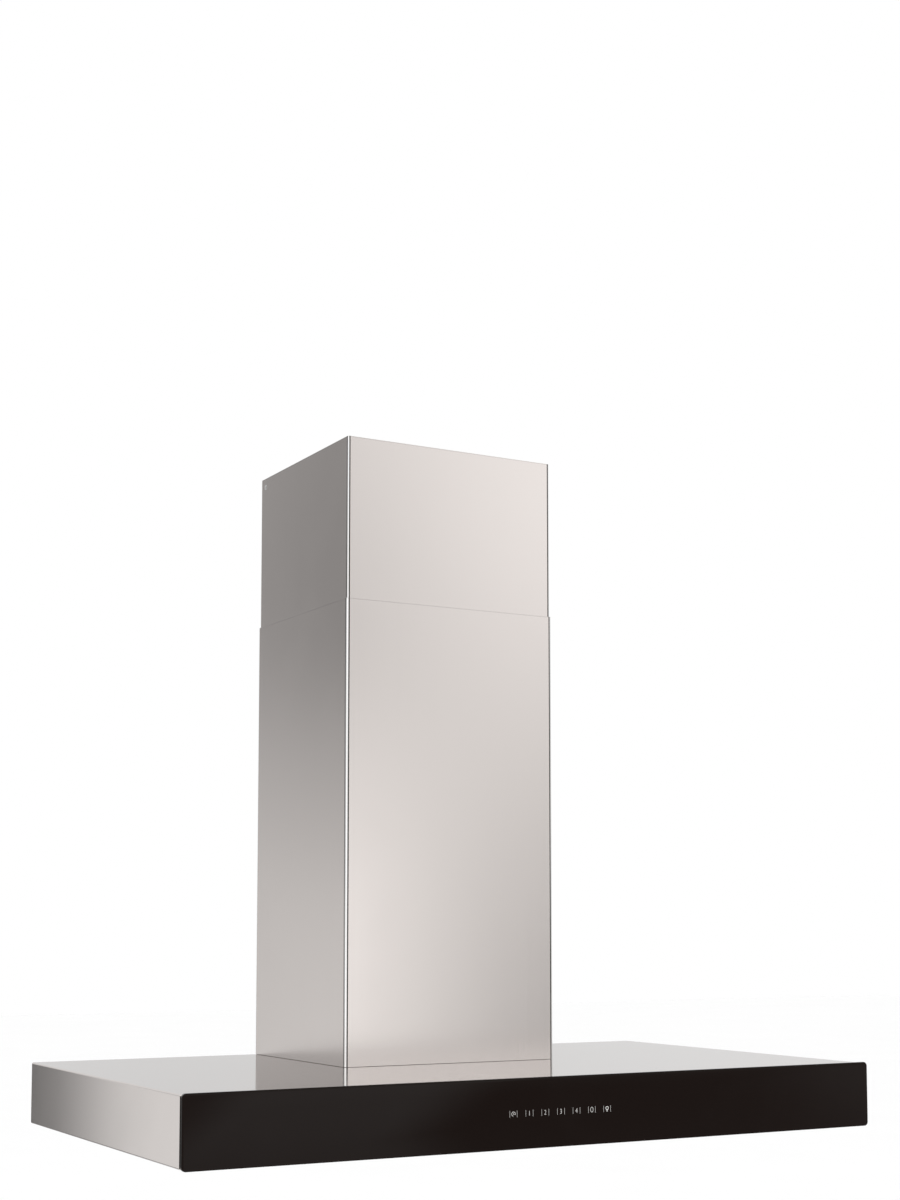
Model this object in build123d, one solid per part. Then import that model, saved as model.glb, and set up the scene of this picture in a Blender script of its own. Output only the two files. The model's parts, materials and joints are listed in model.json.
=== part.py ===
"""Wall-mounted chimney range hood: each physical piece is its own solid, written to parts/NODE.step.

Frame, in millimetres: X is the width, +Y points at the wall, +Z is up. The origin is the middle of the
bounding box's underside, so the wall plane is at y = +DEPTH / 2 and the glass front at y = -DEPTH / 2.
"""

from build123d import *
import math
import os

# --- overall sizes -------------------------------------------------------------------------------
WIDTH = 900.0            # glass panel and canopy body, left to right
DEPTH = 520.0            # glass front to wall
CANOPY_H = 75.0          # canopy body, underside to top
GLASS_PROUD = 1.5        # the glass stands this far above and below the body
GLASS_T = 5.0
GLASS_R = 5.0            # corner radius of the glass panel
CARRIER_T = 1.5          # steel carrier between glass and body
CARRIER_INSET = 4.0
SHEET = 1.0              # stainless sheet
BEND_R = 2.0             # outer radius of the canopy's folds
CORNER_R = 3.0           # outer radius of vertical corners
LIP = 14.0               # canopy's inward bottom flange

# --- chimney -------------------------------------------------------------------------------------
FLUE_W = 296.0           # lower flue cover, outside
FLUE_D = 271.0
LOWER_FLUE_H = 571.0
UPPER_FLUE_L = 560.0
UPPER_SHOWN = 202.8      # upper cover showing above the lower one at rest
FLUE_GAP = 0.5           # clearance between the two covers
FLUE_FLANGE = 15.0       # rear return flange
FLUE_FOOT = 12.0         # inward foot flange of the lower cover
SCREW_FROM_WALL = 16.0   # side screws near the top of the upper cover
SCREW_FROM_TOP = 12.0
SIDE_SCREW_R = 1.9
SIDE_HEAD_H = 0.3        # thin heads, so that the upper cover still slides into the lower one
BRACKET_H = 22.0         # wall bracket of the upper cover
BRACKET_T = 2.0
BRACKET_EAR = 34.0
BRACKET_GAP = 3.0        # bracket to the cover's rear flanges
BRACKET_HOLES_X = 160.0
BRACKET_HOLE_R = 3.0

# --- blower box, wall plate and outlet -----------------------------------------------------------
BOX_SIDE_GAP = 25.5       # blower box side to the upper cover's inside
BOX_H = 290.0
BOX_FRONT_GAP = 32.5     # blower box front to the upper cover's inside
BOX_FLANGE = 12.0
BOX_FLANGE_T = 1.5
BOX_LEDGE = 12.0         # canopy top left inside the blower box all round its opening
PLATE_EDGE = 5.0         # plate beyond the blower box, each side
PLATE_T = 2.0
PLATE_OVER = 10.0        # plate taller than the blower box
HOLES_IN_X = 25.0        # wall holes from the plate's sides
HOLES_IN_Z = 35.0        # and from its ends
WALL_HOLE_R = 4.25
ACCESS_R = 12.0          # screwdriver holes in the blower box behind the wall holes
CASE_SCREW_R = 1.95      # the one small screw of casing, collar, plate and flue foot
CASE_HEAD_R = 3.6
CASE_HEAD_H = 1.6
CASE_SCREW_L = 5.0
PLATE_SCREWS_X = 100.0
SCREWS_IN_Z = 20.0       # plate screws from the plate's ends
BOX_SCREW_END = 30.0     # end flange screws from the blower box's front and rear
DUCT_R = 74.75           # outside of the outlet collar, for a 150 mm duct
DUCT_WALL = 2.5
COLLAR_H = 82.0
COLLAR_EDGE = 13.25      # square base beyond the collar
COLLAR_BASE_T = 2.0
FLAP_AXIS_OFFSET = 4.0   # each flap's hinge from the collar's middle
FLAP_T = 1.2
FLAP_GAP = 0.9           # flap edge to collar wall
FLAP_Z = 12.0            # hinge axis above the blower box
FLAP_LEDGE = 4.0         # width of the ledge under the flaps
LEDGE_GAP = 0.3
BARREL_WALL = 1.3

# --- scroll, impeller and motor ------------------------------------------------------------------
SCROLL_SIDE = 45.0       # scroll's side to the blower box's side
SCROLL_WALL = 2.0
SCROLL_GAP = 15.0        # scroll to the blower box, front and rear
SCROLL_GROWTH = 26.0     # how much the large arc exceeds the small one
MOUTH_GAP = 0.25         # scroll's mouth inside the collar's bore
IMPELLER_GAP = 6.0       # impeller to the scroll's small arc
IMPELLER_SIDE = 15.0     # impeller's end to the scroll's side
BLADES = 30
BLADE_DEPTH = 16.0
MOTOR_R = 34.0
MOTOR_END = 4.0          # right-hand end of the motor from the middle
MOTOR_SCREW_R = 2.0
GROMMET_H = 4.0
GROMMET_OUT = 9.0        # grommets outside the inlet's edge
DISC_X = 10.0            # impeller's middle disc
BEARING_R = 11.0
BEARING_W = 7.0
CAP_R = 14.0             # run capacitor
CAP_LEN = 55.0
CAP_FRONT = 40.0         # capacitor from the blower box's front
CAP_RISE = 130.0         # and above the canopy
SHAFT_R = 4.0
RUN = 0.05               # running clearance of the shaft
SNUG = 0.02              # clearance of pieces that are fixed together

# --- underside -----------------------------------------------------------------------------------
FRONT_STRIP = 135.0      # glass front to the filter openings
REAR_STRIP = 85.0        # filter openings to the wall
SIDE_STRIP = 62.0
MIDDLE_STRIP = 16.0
UPSTAND_H = 12.0
FILTER_GAP = 1.5         # filter to its opening
FILTER_T = 8.0
FILTER_RIM = 12.0
FILTER_WALL = 1.0
MESH_T = 0.5
PIN_R = 2.0
PIN_RUN = 0.08
SWING_GAP = 0.4          # filter's rear corners to the upstand as it swings
PAN_SCREW_R = 1.95
LATCH_HALF = 30.0        # sliding catch, half width
LATCH_RUN = 0.5          # catch to its seat
SLIDE_LEN = 28.0
BOLT_HALF = 11.5
BOLT_GAP = 0.3           # bolt's tip to the panel's edge
SEAT_LEN = 48.0
SEAT_WALL = 4.0
SEAT_FLOOR = 0.8
LAMP_X = 250.0           # lamp centre from the middle
LAMP_BACK = 70.0         # lamp centre behind the glass front
LAMP_R = 30.0            # lamp hole
LAMP_EDGE = 4.0          # bezel beyond its hole
LAMP_FIT = 0.3           # bezel's tube to the hole
LAMP_WALL = 2.2
BEZEL_T = 0.9
LENS_T = 2.5

# --- controls ------------------------------------------------------------------------------------
KEYS = 7
KEY_PITCH = 20.7
KEY_SPRING_R = 3.0
TOUCH_W = 160.0
TOUCH_H = 36.0
TOUCH_D = 22.0
TOUCH_WALL = 2.0
TOUCH_FLANGE = 4.0
TOUCH_SLACK = 1.0        # housing to its windows
BOARD_SET = 8.0          # board behind the canopy's front
BOARD_T = 1.6
CONTROL_X = 300.0
CONTROL_W = 140.0
CONTROL_D = 110.0
CONTROL_H = 30.0
TERMINAL_W = 26.0
TERMINAL_D = 90.0
TERMINAL_H = 40.0
COVER_T = 2.0
INLET_R = 4.0            # cable inlet
LEAD_R = 3.0
LEAD_OUT = 5.0           # supply lead's surface to the blower box's side
LEAD_BACK = 60.0         # supply lead behind the blower box's middle
BUSH_T = 2.0

# --- places worked out from the sizes ------------------------------------------------------------
WALL_Y = DEPTH / 2
GLASS_Y = -DEPTH / 2
HALF_W = WIDTH / 2
BODY_Z = GLASS_PROUD
TOP_Z = BODY_Z + CANOPY_H
GLASS_BACK = GLASS_Y + GLASS_T
BODY_Y = GLASS_BACK + CARRIER_T
FLUE_FRONT = WALL_Y - FLUE_D
LOWER_TOP = TOP_Z + LOWER_FLUE_H
FLUE_TOP = LOWER_TOP + UPPER_SHOWN
UPPER_STEP = SHEET + FLUE_GAP
UPPER_HALF = FLUE_W / 2 - UPPER_STEP
UPPER_REAR = WALL_Y - UPPER_STEP
BOX_FRONT = FLUE_FRONT + UPPER_STEP + SHEET + BOX_FRONT_GAP
BOX_REAR = WALL_Y - PLATE_T
BOX_MID = (BOX_FRONT + BOX_REAR) / 2
BOX_HALF = UPPER_HALF - SHEET - BOX_SIDE_GAP
SCROLL_W = 2 * (BOX_HALF - SCROLL_SIDE)
IMPELLER_W = SCROLL_W - 2 * IMPELLER_SIDE
PLATE_W = 2 * (BOX_HALF + PLATE_EDGE)
PLATE_H = BOX_H + PLATE_OVER
WALL_HOLES_X = PLATE_W - 2 * HOLES_IN_X
WALL_HOLES_Z = PLATE_H - 2 * HOLES_IN_Z
PLATE_SCREWS_Z = PLATE_H - 2 * SCREWS_IN_Z
BOX_TOP = TOP_Z + BOX_H
PLATE_Z = TOP_Z + 3.5
WALL_HOLE_Z = PLATE_Z + PLATE_H / 2 - 5.0
PAN_Z = BODY_Z + SHEET
PAN_TOP = PAN_Z + SHEET
OPENING_Y = (GLASS_Y + FRONT_STRIP, WALL_Y - REAR_STRIP)
OPENING_X = (MIDDLE_STRIP / 2, HALF_W - SIDE_STRIP)
FILTER_Z = (PAN_Z + 0.5, PAN_Z + 0.5 + FILTER_T)
FILTER_Y = (OPENING_Y[0] + FILTER_GAP, OPENING_Y[1] - FILTER_GAP)
FILTER_X = (OPENING_X[0] + FILTER_GAP, OPENING_X[1] - FILTER_GAP)
FILTER_MID = sum(FILTER_X) / 2
PLAY = FILTER_GAP - SWING_GAP
PIN_BACK = ((FILTER_T / 2) ** 2 - PLAY**2) / (2 * PLAY)
PIN_Y = FILTER_Y[1] - PIN_BACK
PIN_Z = sum(FILTER_Z) / 2
SCROLL_R = (BOX_REAR - BOX_FRONT) / 2 - SCROLL_GAP - SCROLL_WALL
SMALL_R = SCROLL_R - SCROLL_GROWTH
IMPELLER_R = SMALL_R - IMPELLER_GAP
FAN_Z = TOP_Z + SMALL_R + 40.0
KEY_Z = BODY_Z + CANOPY_H / 2
INLET_R_FAN = IMPELLER_R - BLADE_DEPTH
LEAD_HOLE = (BOX_HALF + LEAD_OUT + LEAD_R, BOX_MID + LEAD_BACK)
LEAD_HOLE_R = LEAD_R + BUSH_T
BOX_SCREW_Y = (BOX_FRONT + BOX_SCREW_END, BOX_MID, BOX_REAR - BOX_SCREW_END)
BOX_SCREW_X = BOX_HALF + BOX_FLANGE / 2
BOARD_Y = BODY_Y + BOARD_SET
CONTROL_TOP = TOP_Z - SHEET
CONTROL_Y = (BOX_MID - CONTROL_D / 2, BOX_MID + CONTROL_D / 2)
CONTROL_SPAN = (CONTROL_X - CONTROL_W / 2, CONTROL_X + CONTROL_W / 2)
LAMP_TUBE_R = LAMP_R - LAMP_FIT
LENS_R = LAMP_TUBE_R - LAMP_WALL
LATCH_Y = FILTER_Y[0] + FILTER_RIM
BOLT_Z = (FILTER_Z[0] + FILTER_WALL + 0.2, FILTER_Z[0] + FILTER_WALL + 3.2)
SIDE_SCREW = (WALL_Y - SCREW_FROM_WALL, FLUE_TOP - SCREW_FROM_TOP)
BRACKET_Z = (SIDE_SCREW[1] - BRACKET_H / 2, SIDE_SCREW[1] + BRACKET_H / 2)
BRACKET_HALF = UPPER_HALF - FLUE_FLANGE - BRACKET_GAP
FLAP_AXIS_Z = BOX_TOP + FLAP_Z
FLAP_LOW = FLAP_AXIS_Z - FLAP_T / 2
COLLAR_IN = DUCT_R - DUCT_WALL
COLLAR_HALF = DUCT_R + COLLAR_EDGE
MOUTH_HALF = COLLAR_IN - MOUTH_GAP
FLAP_R = COLLAR_IN - FLAP_GAP
BARREL_R = PIN_R + BARREL_WALL
BRACKET_X = -SCROLL_W / 2 - GROMMET_H
CAP_X = BOX_HALF - SHEET - CAP_R - 2.0
CAP_Y = BOX_FRONT + CAP_FRONT
CAP_Z = TOP_Z + CAP_RISE
TERMINAL_X = (BOX_HALF - TERMINAL_W - 1, BOX_HALF - 1)
TERMINAL_Y = (LEAD_HOLE[1] - TERMINAL_D + 20, LEAD_HOLE[1] + 20)
TERMINAL_TOP = BOX_TOP + TERMINAL_H
INLET = (sum(TERMINAL_X) / 2, BOX_TOP + 18.0)


# --- small builders ------------------------------------------------------------------------------
def block(x, y, z):
    """Box from a (low, high) pair along each axis."""
    sides = [high - low for low, high in (x, y, z)]
    middle = [(high + low) / 2 for low, high in (x, y, z)]
    return Pos(*middle) * Box(*sides)


def rod(start, along, radius, length):
    """Cylinder of the given length that starts at a point and runs along a direction."""
    base = Plane(origin=start, z_dir=along)
    return base * Cylinder(radius, length, align=(Align.CENTER, Align.CENTER, Align.MIN))


def ring(start, along, outer, inner, length):
    """Tube with its first end face at a point."""
    reach = Vector(*along).normalized()
    before = Vector(*start) - reach
    hole = rod((before.X, before.Y, before.Z), along, inner, length + 2)
    return rod(start, along, outer, length) - hole


def upright(part):
    return part.edges().filter_by(Axis.Z)


def joined(solids):
    """Several separate solids in one node."""
    return Compound(children=list(solids))


def pan_screw(head, along, shank_r, length, head_r, head_h):
    """Pan-head screw: the head stands out of the seat at `head`, the shank runs along `along`."""
    way = Vector(*along).normalized()
    back = Vector(*head) - way * head_h
    shape = rod((back.X, back.Y, back.Z), along, head_r, head_h) + rod(head, along, shank_r, length)
    slot = Plane(origin=(back.X, back.Y, back.Z), z_dir=along)
    cross = slot * Box(head_r * 1.2, head_r * 0.25, head_h) + slot * Box(head_r * 0.25, head_r * 1.2, head_h)
    return shape - cross


def both_sides(shape):
    return [shape, mirror(shape, about=Plane.YZ)]


# --- canopy --------------------------------------------------------------------------------------
def canopy_body(inset):
    """Folded canopy block with its bend radii, inset by a distance on every side."""
    body = block(
        (-HALF_W + inset, HALF_W - inset),
        (BODY_Y + inset, WALL_Y - inset),
        (BODY_Z + inset, TOP_Z - inset),
    )
    rear = upright(body).group_by(Axis.Y)[-1]
    body = fillet(rear, CORNER_R - inset)
    level = body.faces().sort_by(Axis.Z)
    return fillet(level[0].edges() + level[-1].edges(), BEND_R - inset)


def lamp_places():
    return [(side * LAMP_X, GLASS_Y + LAMP_BACK) for side in (-1, 1)]


def pan_screw_places():
    rows = (BODY_Y + LIP * 0.6, WALL_Y - LIP * 0.6)
    return [(x, y) for x in (-HALF_W * 0.85, 0.0, HALF_W * 0.85) for y in rows]


def canopy_shell():
    shell = canopy_body(0) - canopy_body(SHEET)
    shell -= block(
        (-HALF_W + LIP, HALF_W - LIP), (BODY_Y + LIP, WALL_Y - LIP), (BODY_Z - 1, BODY_Z + SHEET + 1)
    )
    shell -= block(
        (-BOX_HALF + BOX_LEDGE, BOX_HALF - BOX_LEDGE),
        (BOX_FRONT + BOX_LEDGE, BOX_REAR - BOX_LEDGE),
        (TOP_Z - SHEET - 1, TOP_Z + 1),
    )
    shell -= block(
        (-TOUCH_W / 2 - TOUCH_SLACK, TOUCH_W / 2 + TOUCH_SLACK),
        (BODY_Y - 1, BODY_Y + SHEET + 1),
        (KEY_Z - TOUCH_H / 2 - TOUCH_SLACK, KEY_Z + TOUCH_H / 2 + TOUCH_SLACK),
    )
    shell -= rod((*LEAD_HOLE, TOP_Z - SHEET - 1), (0, 0, 1), LEAD_HOLE_R, SHEET + 2)
    for x, y in pan_screw_places():
        shell -= rod((x, y, BODY_Z - 1), (0, 0, 1), PAN_SCREW_R + SNUG, SHEET + 2)
    for x, y in box_screw_places():
        shell -= rod((x, y, TOP_Z - SHEET - 1), (0, 0, 1), CASE_SCREW_R + SNUG, SHEET + 2)
    for x, y in foot_screw_places():
        shell -= rod((x, y, TOP_Z - SHEET - 1), (0, 0, 1), CASE_SCREW_R + SNUG, SHEET + 2)
    return shell


def front_glass():
    panel = block((-HALF_W, HALF_W), (GLASS_Y, GLASS_BACK), (0, CANOPY_H + 2 * GLASS_PROUD))
    panel = fillet(panel.edges().filter_by(Axis.Y), GLASS_R)
    front = panel.faces().sort_by(Axis.Y)[0]
    return chamfer(front.edges(), 0.5)


def glass_carrier():
    plate = block(
        (-HALF_W + CARRIER_INSET, HALF_W - CARRIER_INSET),
        (GLASS_BACK, BODY_Y),
        (BODY_Z + CARRIER_INSET, TOP_Z - CARRIER_INSET),
    )
    return plate - block(
        (-TOUCH_W / 2 - TOUCH_SLACK, TOUCH_W / 2 + TOUCH_SLACK),
        (GLASS_BACK - 1, BODY_Y + 1),
        (KEY_Z - TOUCH_H / 2 - TOUCH_SLACK, KEY_Z + TOUCH_H / 2 + TOUCH_SLACK),
    )


def bottom_panel():
    room = SHEET + BEND_R
    panel = block(
        (-HALF_W + room, HALF_W - room), (BODY_Y + room, WALL_Y - room), (PAN_Z, PAN_TOP)
    )
    upstand = block(
        (OPENING_X[0] - SHEET, OPENING_X[1] + SHEET),
        (OPENING_Y[0] - SHEET, OPENING_Y[1] + SHEET),
        (PAN_Z, PAN_TOP + UPSTAND_H),
    )
    notch = block(
        (FILTER_MID - LATCH_HALF, FILTER_MID + LATCH_HALF),
        (OPENING_Y[0] - SHEET - 1, OPENING_Y[0] + 1),
        (PAN_TOP, PAN_TOP + UPSTAND_H + 1),
    )
    opening = block(OPENING_X, OPENING_Y, (PAN_Z - 1, PAN_TOP + UPSTAND_H + 1))
    pins = rod((OPENING_X[0] - 5, PIN_Y, PIN_Z), (1, 0, 0), PIN_R + PIN_RUN, OPENING_X[1] - OPENING_X[0] + 10)
    for side in (0, 1):
        pieces = [both_sides(shape)[side] for shape in (upstand, notch, opening, pins)]
        panel = panel + pieces[0] - pieces[1] - pieces[2] - pieces[3]
    for x, y in lamp_places():
        panel -= rod((x, y, PAN_Z - 1), (0, 0, 1), LAMP_R, SHEET + 2)
    for x, y in pan_screw_places():
        panel -= rod((x, y, PAN_Z - 1), (0, 0, 1), PAN_SCREW_R + SNUG, SHEET + 2)
    return panel


def bottom_panel_screws():
    head_h = 1.2
    return joined(
        pan_screw((x, y, BODY_Z), (0, 0, 1), PAN_SCREW_R, 8.0, 4.0, head_h) for x, y in pan_screw_places()
    )


# --- controls ------------------------------------------------------------------------------------
def key_places():
    return [(i - (KEYS - 1) / 2) * KEY_PITCH for i in range(KEYS)]


def touch_housing():
    """Moulded box in the window of the canopy's front wall, open towards the glass."""
    z = (KEY_Z - TOUCH_H / 2, KEY_Z + TOUCH_H / 2)
    x = (-TOUCH_W / 2, TOUCH_W / 2)
    rear = BODY_Y + TOUCH_D
    outer = block(x, (BODY_Y, rear), z)
    outer = fillet(outer.edges().filter_by(Axis.Y), TOUCH_WALL)
    wide = (x[0] - TOUCH_FLANGE, x[1] + TOUCH_FLANGE)
    tall = (z[0] - TOUCH_FLANGE, z[1] + TOUCH_FLANGE)
    outer += block(wide, (BODY_Y + SHEET, BODY_Y + SHEET + TOUCH_WALL), tall)
    inner = block(
        (x[0] + TOUCH_WALL, x[1] - TOUCH_WALL),
        (BODY_Y - 1, rear - TOUCH_WALL),
        (z[0] + TOUCH_WALL, z[1] - TOUCH_WALL),
    )
    lead = rod((0, rear - TOUCH_WALL - 1, KEY_Z), (0, 1, 0), LEAD_R * 0.7 + SNUG, TOUCH_WALL + 2)
    return outer - inner - lead


def touch_board():
    return block(
        (-TOUCH_W / 2 + TOUCH_WALL, TOUCH_W / 2 - TOUCH_WALL),
        (BOARD_Y, BOARD_Y + BOARD_T),
        (KEY_Z - TOUCH_H / 2 + TOUCH_WALL, KEY_Z + TOUCH_H / 2 - TOUCH_WALL),
    )


def touch_springs():
    """One conducting spring for each key, from the board to the back of the glass."""
    length = BOARD_Y - GLASS_BACK
    turns = 6
    wire = 0.4
    springs = []
    for x in key_places():
        coil = [
            Pos(x, GLASS_BACK + wire + i * (length - 2 * wire) / turns, KEY_Z)
            * Rot(90, 0, 0)
            * Torus(KEY_SPRING_R - wire, wire)
            for i in range(turns + 1)
        ]
        outside = KEY_Z + KEY_SPRING_R
        spring = block((x - wire, x + wire), (GLASS_BACK, BOARD_Y), (outside - 2 * wire, outside))
        for turn in coil:
            spring = spring + turn
        springs.append(spring)
    return joined(springs)


def control_box():
    outer = block(CONTROL_SPAN, CONTROL_Y, (CONTROL_TOP - CONTROL_H + COVER_T, CONTROL_TOP))
    outer = fillet(upright(outer), 3.0)
    inner = block(
        (CONTROL_SPAN[0] + 2, CONTROL_SPAN[1] - 2),
        (CONTROL_Y[0] + 2, CONTROL_Y[1] - 2),
        (CONTROL_TOP - CONTROL_H + COVER_T - 1, CONTROL_TOP - 2),
    )
    box = outer - inner
    for y in (BOX_MID - 20, BOX_MID + 20):
        box -= rod((CONTROL_SPAN[0] - 1, y, CONTROL_TOP - CONTROL_H / 2), (1, 0, 0), LEAD_R + SNUG, 4)
    return box


def control_box_cover():
    cover = block(CONTROL_SPAN, CONTROL_Y, (CONTROL_TOP - CONTROL_H, CONTROL_TOP - CONTROL_H + COVER_T))
    return fillet(upright(cover), 3.0)


def power_board():
    board = block(
        (CONTROL_SPAN[0] + 4, CONTROL_SPAN[1] - 4),
        (CONTROL_Y[0] + 4, CONTROL_Y[1] - 4),
        (CONTROL_TOP - 2 - BOARD_T, CONTROL_TOP - 2),
    )
    low = CONTROL_TOP - 2 - BOARD_T
    parts = [(-30, -20, 16, 14), (10, -25, 12, 10), (35, 15, 20, 15), (-10, 20, 10, 12), (-42, 22, 9, 10)]
    for dx, dy, half, tall in parts:
        x = CONTROL_X + dx
        y = BOX_MID + dy
        board += block((x - half / 2, x + half / 2), (y - half / 2, y + half / 2), (low - tall, low))
    return board


# --- lamps ---------------------------------------------------------------------------------------
def lamp(side):
    """Bezel, lens and finned body of one lamp."""
    x = side * LAMP_X
    y = GLASS_Y + LAMP_BACK
    up = (0, 0, 1)
    bezel = ring((x, y, PAN_Z - BEZEL_T), up, LAMP_R + LAMP_EDGE, LENS_R - 1.5, BEZEL_T)
    bezel += ring((x, y, PAN_Z), up, LAMP_TUBE_R, LENS_R + SNUG, 14.0)
    lens = rod((x, y, PAN_Z), up, LENS_R, LENS_T)
    base_z = PAN_Z + LENS_T
    body = rod((x, y, base_z), up, LENS_R, 6.0)
    for i in range(5):
        body += rod((x, y, base_z + 6.0 + 3.0 * i), up, LENS_R - 8.0, 3.0)
        body += rod((x, y, base_z + 7.5 + 3.0 * i), up, LENS_R - 2.0, 1.2)
    return bezel, lens, body


# --- filters -------------------------------------------------------------------------------------
def filter_frame():
    """Channel-section rim of the right filter, open inwards."""
    frame = block(FILTER_X, FILTER_Y, FILTER_Z)
    frame = fillet(upright(frame), 2.0)
    frame -= block(
        (FILTER_X[0] + FILTER_RIM, FILTER_X[1] - FILTER_RIM),
        (FILTER_Y[0] + FILTER_RIM, FILTER_Y[1] - FILTER_RIM),
        (FILTER_Z[0] - 1, FILTER_Z[1] + 1),
    )
    frame -= block(
        (FILTER_X[0] + FILTER_WALL, FILTER_X[1] - FILTER_WALL),
        (FILTER_Y[0] + FILTER_WALL, FILTER_Y[1] - FILTER_WALL),
        (FILTER_Z[0] + FILTER_WALL, FILTER_Z[1] - FILTER_WALL),
    )
    frame -= block(
        (FILTER_MID - BOLT_HALF - 0.5, FILTER_MID + BOLT_HALF + 0.5),
        (FILTER_Y[0] - 1, FILTER_Y[0] + FILTER_RIM + 1),
        (BOLT_Z[0] - 0.2, BOLT_Z[1] + 0.2),
    )
    width = FILTER_X[1] - FILTER_X[0]
    return frame - rod((FILTER_X[0] - 5, PIN_Y, PIN_Z), (1, 0, 0), PIN_R + SNUG, width + 10)


def filter_mesh():
    """Outer sheets of the mesh pack, held in the rim's channel."""
    x = (FILTER_X[0] + FILTER_WALL + 1, FILTER_X[1] - FILTER_WALL - 1)
    y = (FILTER_Y[0] + FILTER_WALL + 1, PIN_Y - PIN_R - 1)
    cut = block(
        (FILTER_MID - LATCH_HALF - SEAT_WALL - 1, FILTER_MID + LATCH_HALF + SEAT_WALL + 1),
        (y[0] - 1, LATCH_Y + SEAT_LEN + 1),
        (FILTER_Z[0] - 1, FILTER_Z[1] + 1),
    )
    low = FILTER_Z[0] + FILTER_WALL
    high = FILTER_Z[1] - FILTER_WALL
    return joined(block(x, y, z) - cut for z in ((low, low + MESH_T), (high - MESH_T, high)))


def filter_pins():
    """Two short hinge pins: from inside the rim, through the upstand beside the filter."""
    reach = FILTER_GAP + SHEET + 1.5
    left = rod((FILTER_X[0] - reach, PIN_Y, PIN_Z), (1, 0, 0), PIN_R, reach + 8.0)
    right = rod((FILTER_X[1] + reach, PIN_Y, PIN_Z), (-1, 0, 0), PIN_R, reach + 8.0)
    return joined([left, right])


def latch_seat():
    """Moulded seat of the catch, let into the mesh behind the front rim."""
    half = LATCH_HALF + SEAT_WALL
    z = (FILTER_Z[0] + 0.2, FILTER_Z[1] - 0.2)
    seat = block((FILTER_MID - half, FILTER_MID + half), (LATCH_Y, LATCH_Y + SEAT_LEN), z)
    seat = fillet(upright(seat).group_by(Axis.Y)[-1], 4.0)
    seat -= block(
        (FILTER_MID - LATCH_HALF - LATCH_RUN, FILTER_MID + LATCH_HALF + LATCH_RUN),
        (LATCH_Y - 1, LATCH_Y + SEAT_LEN - SEAT_WALL),
        (z[0] + SEAT_FLOOR, z[1] + 1),
    )
    return seat - block(
        (FILTER_MID - 25, FILTER_MID + 25), (LATCH_Y + 6, LATCH_Y + 32), (z[0] - 1, z[0] + SEAT_FLOOR + 1)
    )


def filter_latch():
    """Sliding catch: a plate in the seat, a finger lip below it and a bolt through the front rim."""
    plate = block(
        (FILTER_MID - LATCH_HALF, FILTER_MID + LATCH_HALF),
        (LATCH_Y + 1, LATCH_Y + 1 + SLIDE_LEN),
        (BOLT_Z[0], FILTER_Z[1] - 1.0),
    )
    bolt = block(
        (FILTER_MID - BOLT_HALF, FILTER_MID + BOLT_HALF),
        (OPENING_Y[0] + BOLT_GAP, LATCH_Y + 8),
        BOLT_Z,
    )
    lip = block(
        (FILTER_MID - 24, FILTER_MID + 24),
        (LATCH_Y + 7, LATCH_Y + 11),
        (FILTER_Z[0] + 0.2, BOLT_Z[0] + 1),
    )
    return plate + bolt + lip


def latch_spring():
    """Compression coil between the catch and the rear of its seat."""
    start = LATCH_Y + 1 + SLIDE_LEN
    end = LATCH_Y + SEAT_LEN - SEAT_WALL
    radius = 2.0
    wire = 0.35
    length = end - start - 2 * wire
    helix = Helix(pitch=length / 6, height=length, radius=radius)
    section = Plane(origin=helix @ 0, z_dir=helix % 0) * Circle(wire)
    coil = sweep(section, path=helix)
    middle_z = (BOLT_Z[0] + FILTER_Z[1] - 1.0) / 2
    return Pos(FILTER_MID, start + wire, middle_z) * Rot(-90, 0, 0) * coil


# --- chimney covers ------------------------------------------------------------------------------
def flue_cover(step, bottom, top):
    """U-shaped cover with return flanges at the wall, `step` inside the lower cover's outline."""
    half = FLUE_W / 2 - step
    front = FLUE_FRONT + step
    rear = WALL_Y - step
    outer = block((-half, half), (front, rear), (bottom, top))
    outer = fillet(upright(outer), CORNER_R - step)
    inner = block((-half + SHEET, half - SHEET), (front + SHEET, rear - SHEET), (bottom - 1, top + 1))
    inner = fillet(upright(inner), CORNER_R - step - SHEET + 0.2)
    gap = half - FLUE_FLANGE
    return outer - inner - block((-gap, gap), (rear - 2 * SHEET, rear + 1), (bottom - 1, top + 1))


def foot_screw_places():
    y = FLUE_FRONT + SHEET + FLUE_FOOT * 0.6
    return [(-80.0, y), (80.0, y)]


def lower_flue_cover():
    cover = flue_cover(0, TOP_Z, LOWER_TOP)
    half = FLUE_W / 2 - SHEET / 2
    foot = block((-half, half), (FLUE_FRONT + SHEET / 2, WALL_Y - 3 * SHEET), (TOP_Z, TOP_Z + SHEET))
    foot -= block(
        (-half + FLUE_FOOT, half - FLUE_FOOT),
        (FLUE_FRONT + SHEET + FLUE_FOOT, WALL_Y),
        (TOP_Z - 1, TOP_Z + SHEET + 1),
    )
    foot = fillet(upright(foot).group_by(Axis.Y)[0], CORNER_R - SHEET / 2)
    cover += foot
    for x, y in foot_screw_places():
        cover -= rod((x, y, TOP_Z - 1), (0, 0, 1), CASE_SCREW_R + SNUG, SHEET + 2)
    return cover


def side_screw_holes(depth):
    y, z = SIDE_SCREW
    return rod((-UPPER_HALF - 1, y, z), (1, 0, 0), SIDE_SCREW_R + SNUG, depth)


def upper_flue_cover():
    cover = flue_cover(UPPER_STEP, FLUE_TOP - UPPER_FLUE_L, FLUE_TOP)
    for hole in both_sides(side_screw_holes(SHEET + 2)):
        cover -= hole
    return cover


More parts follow.
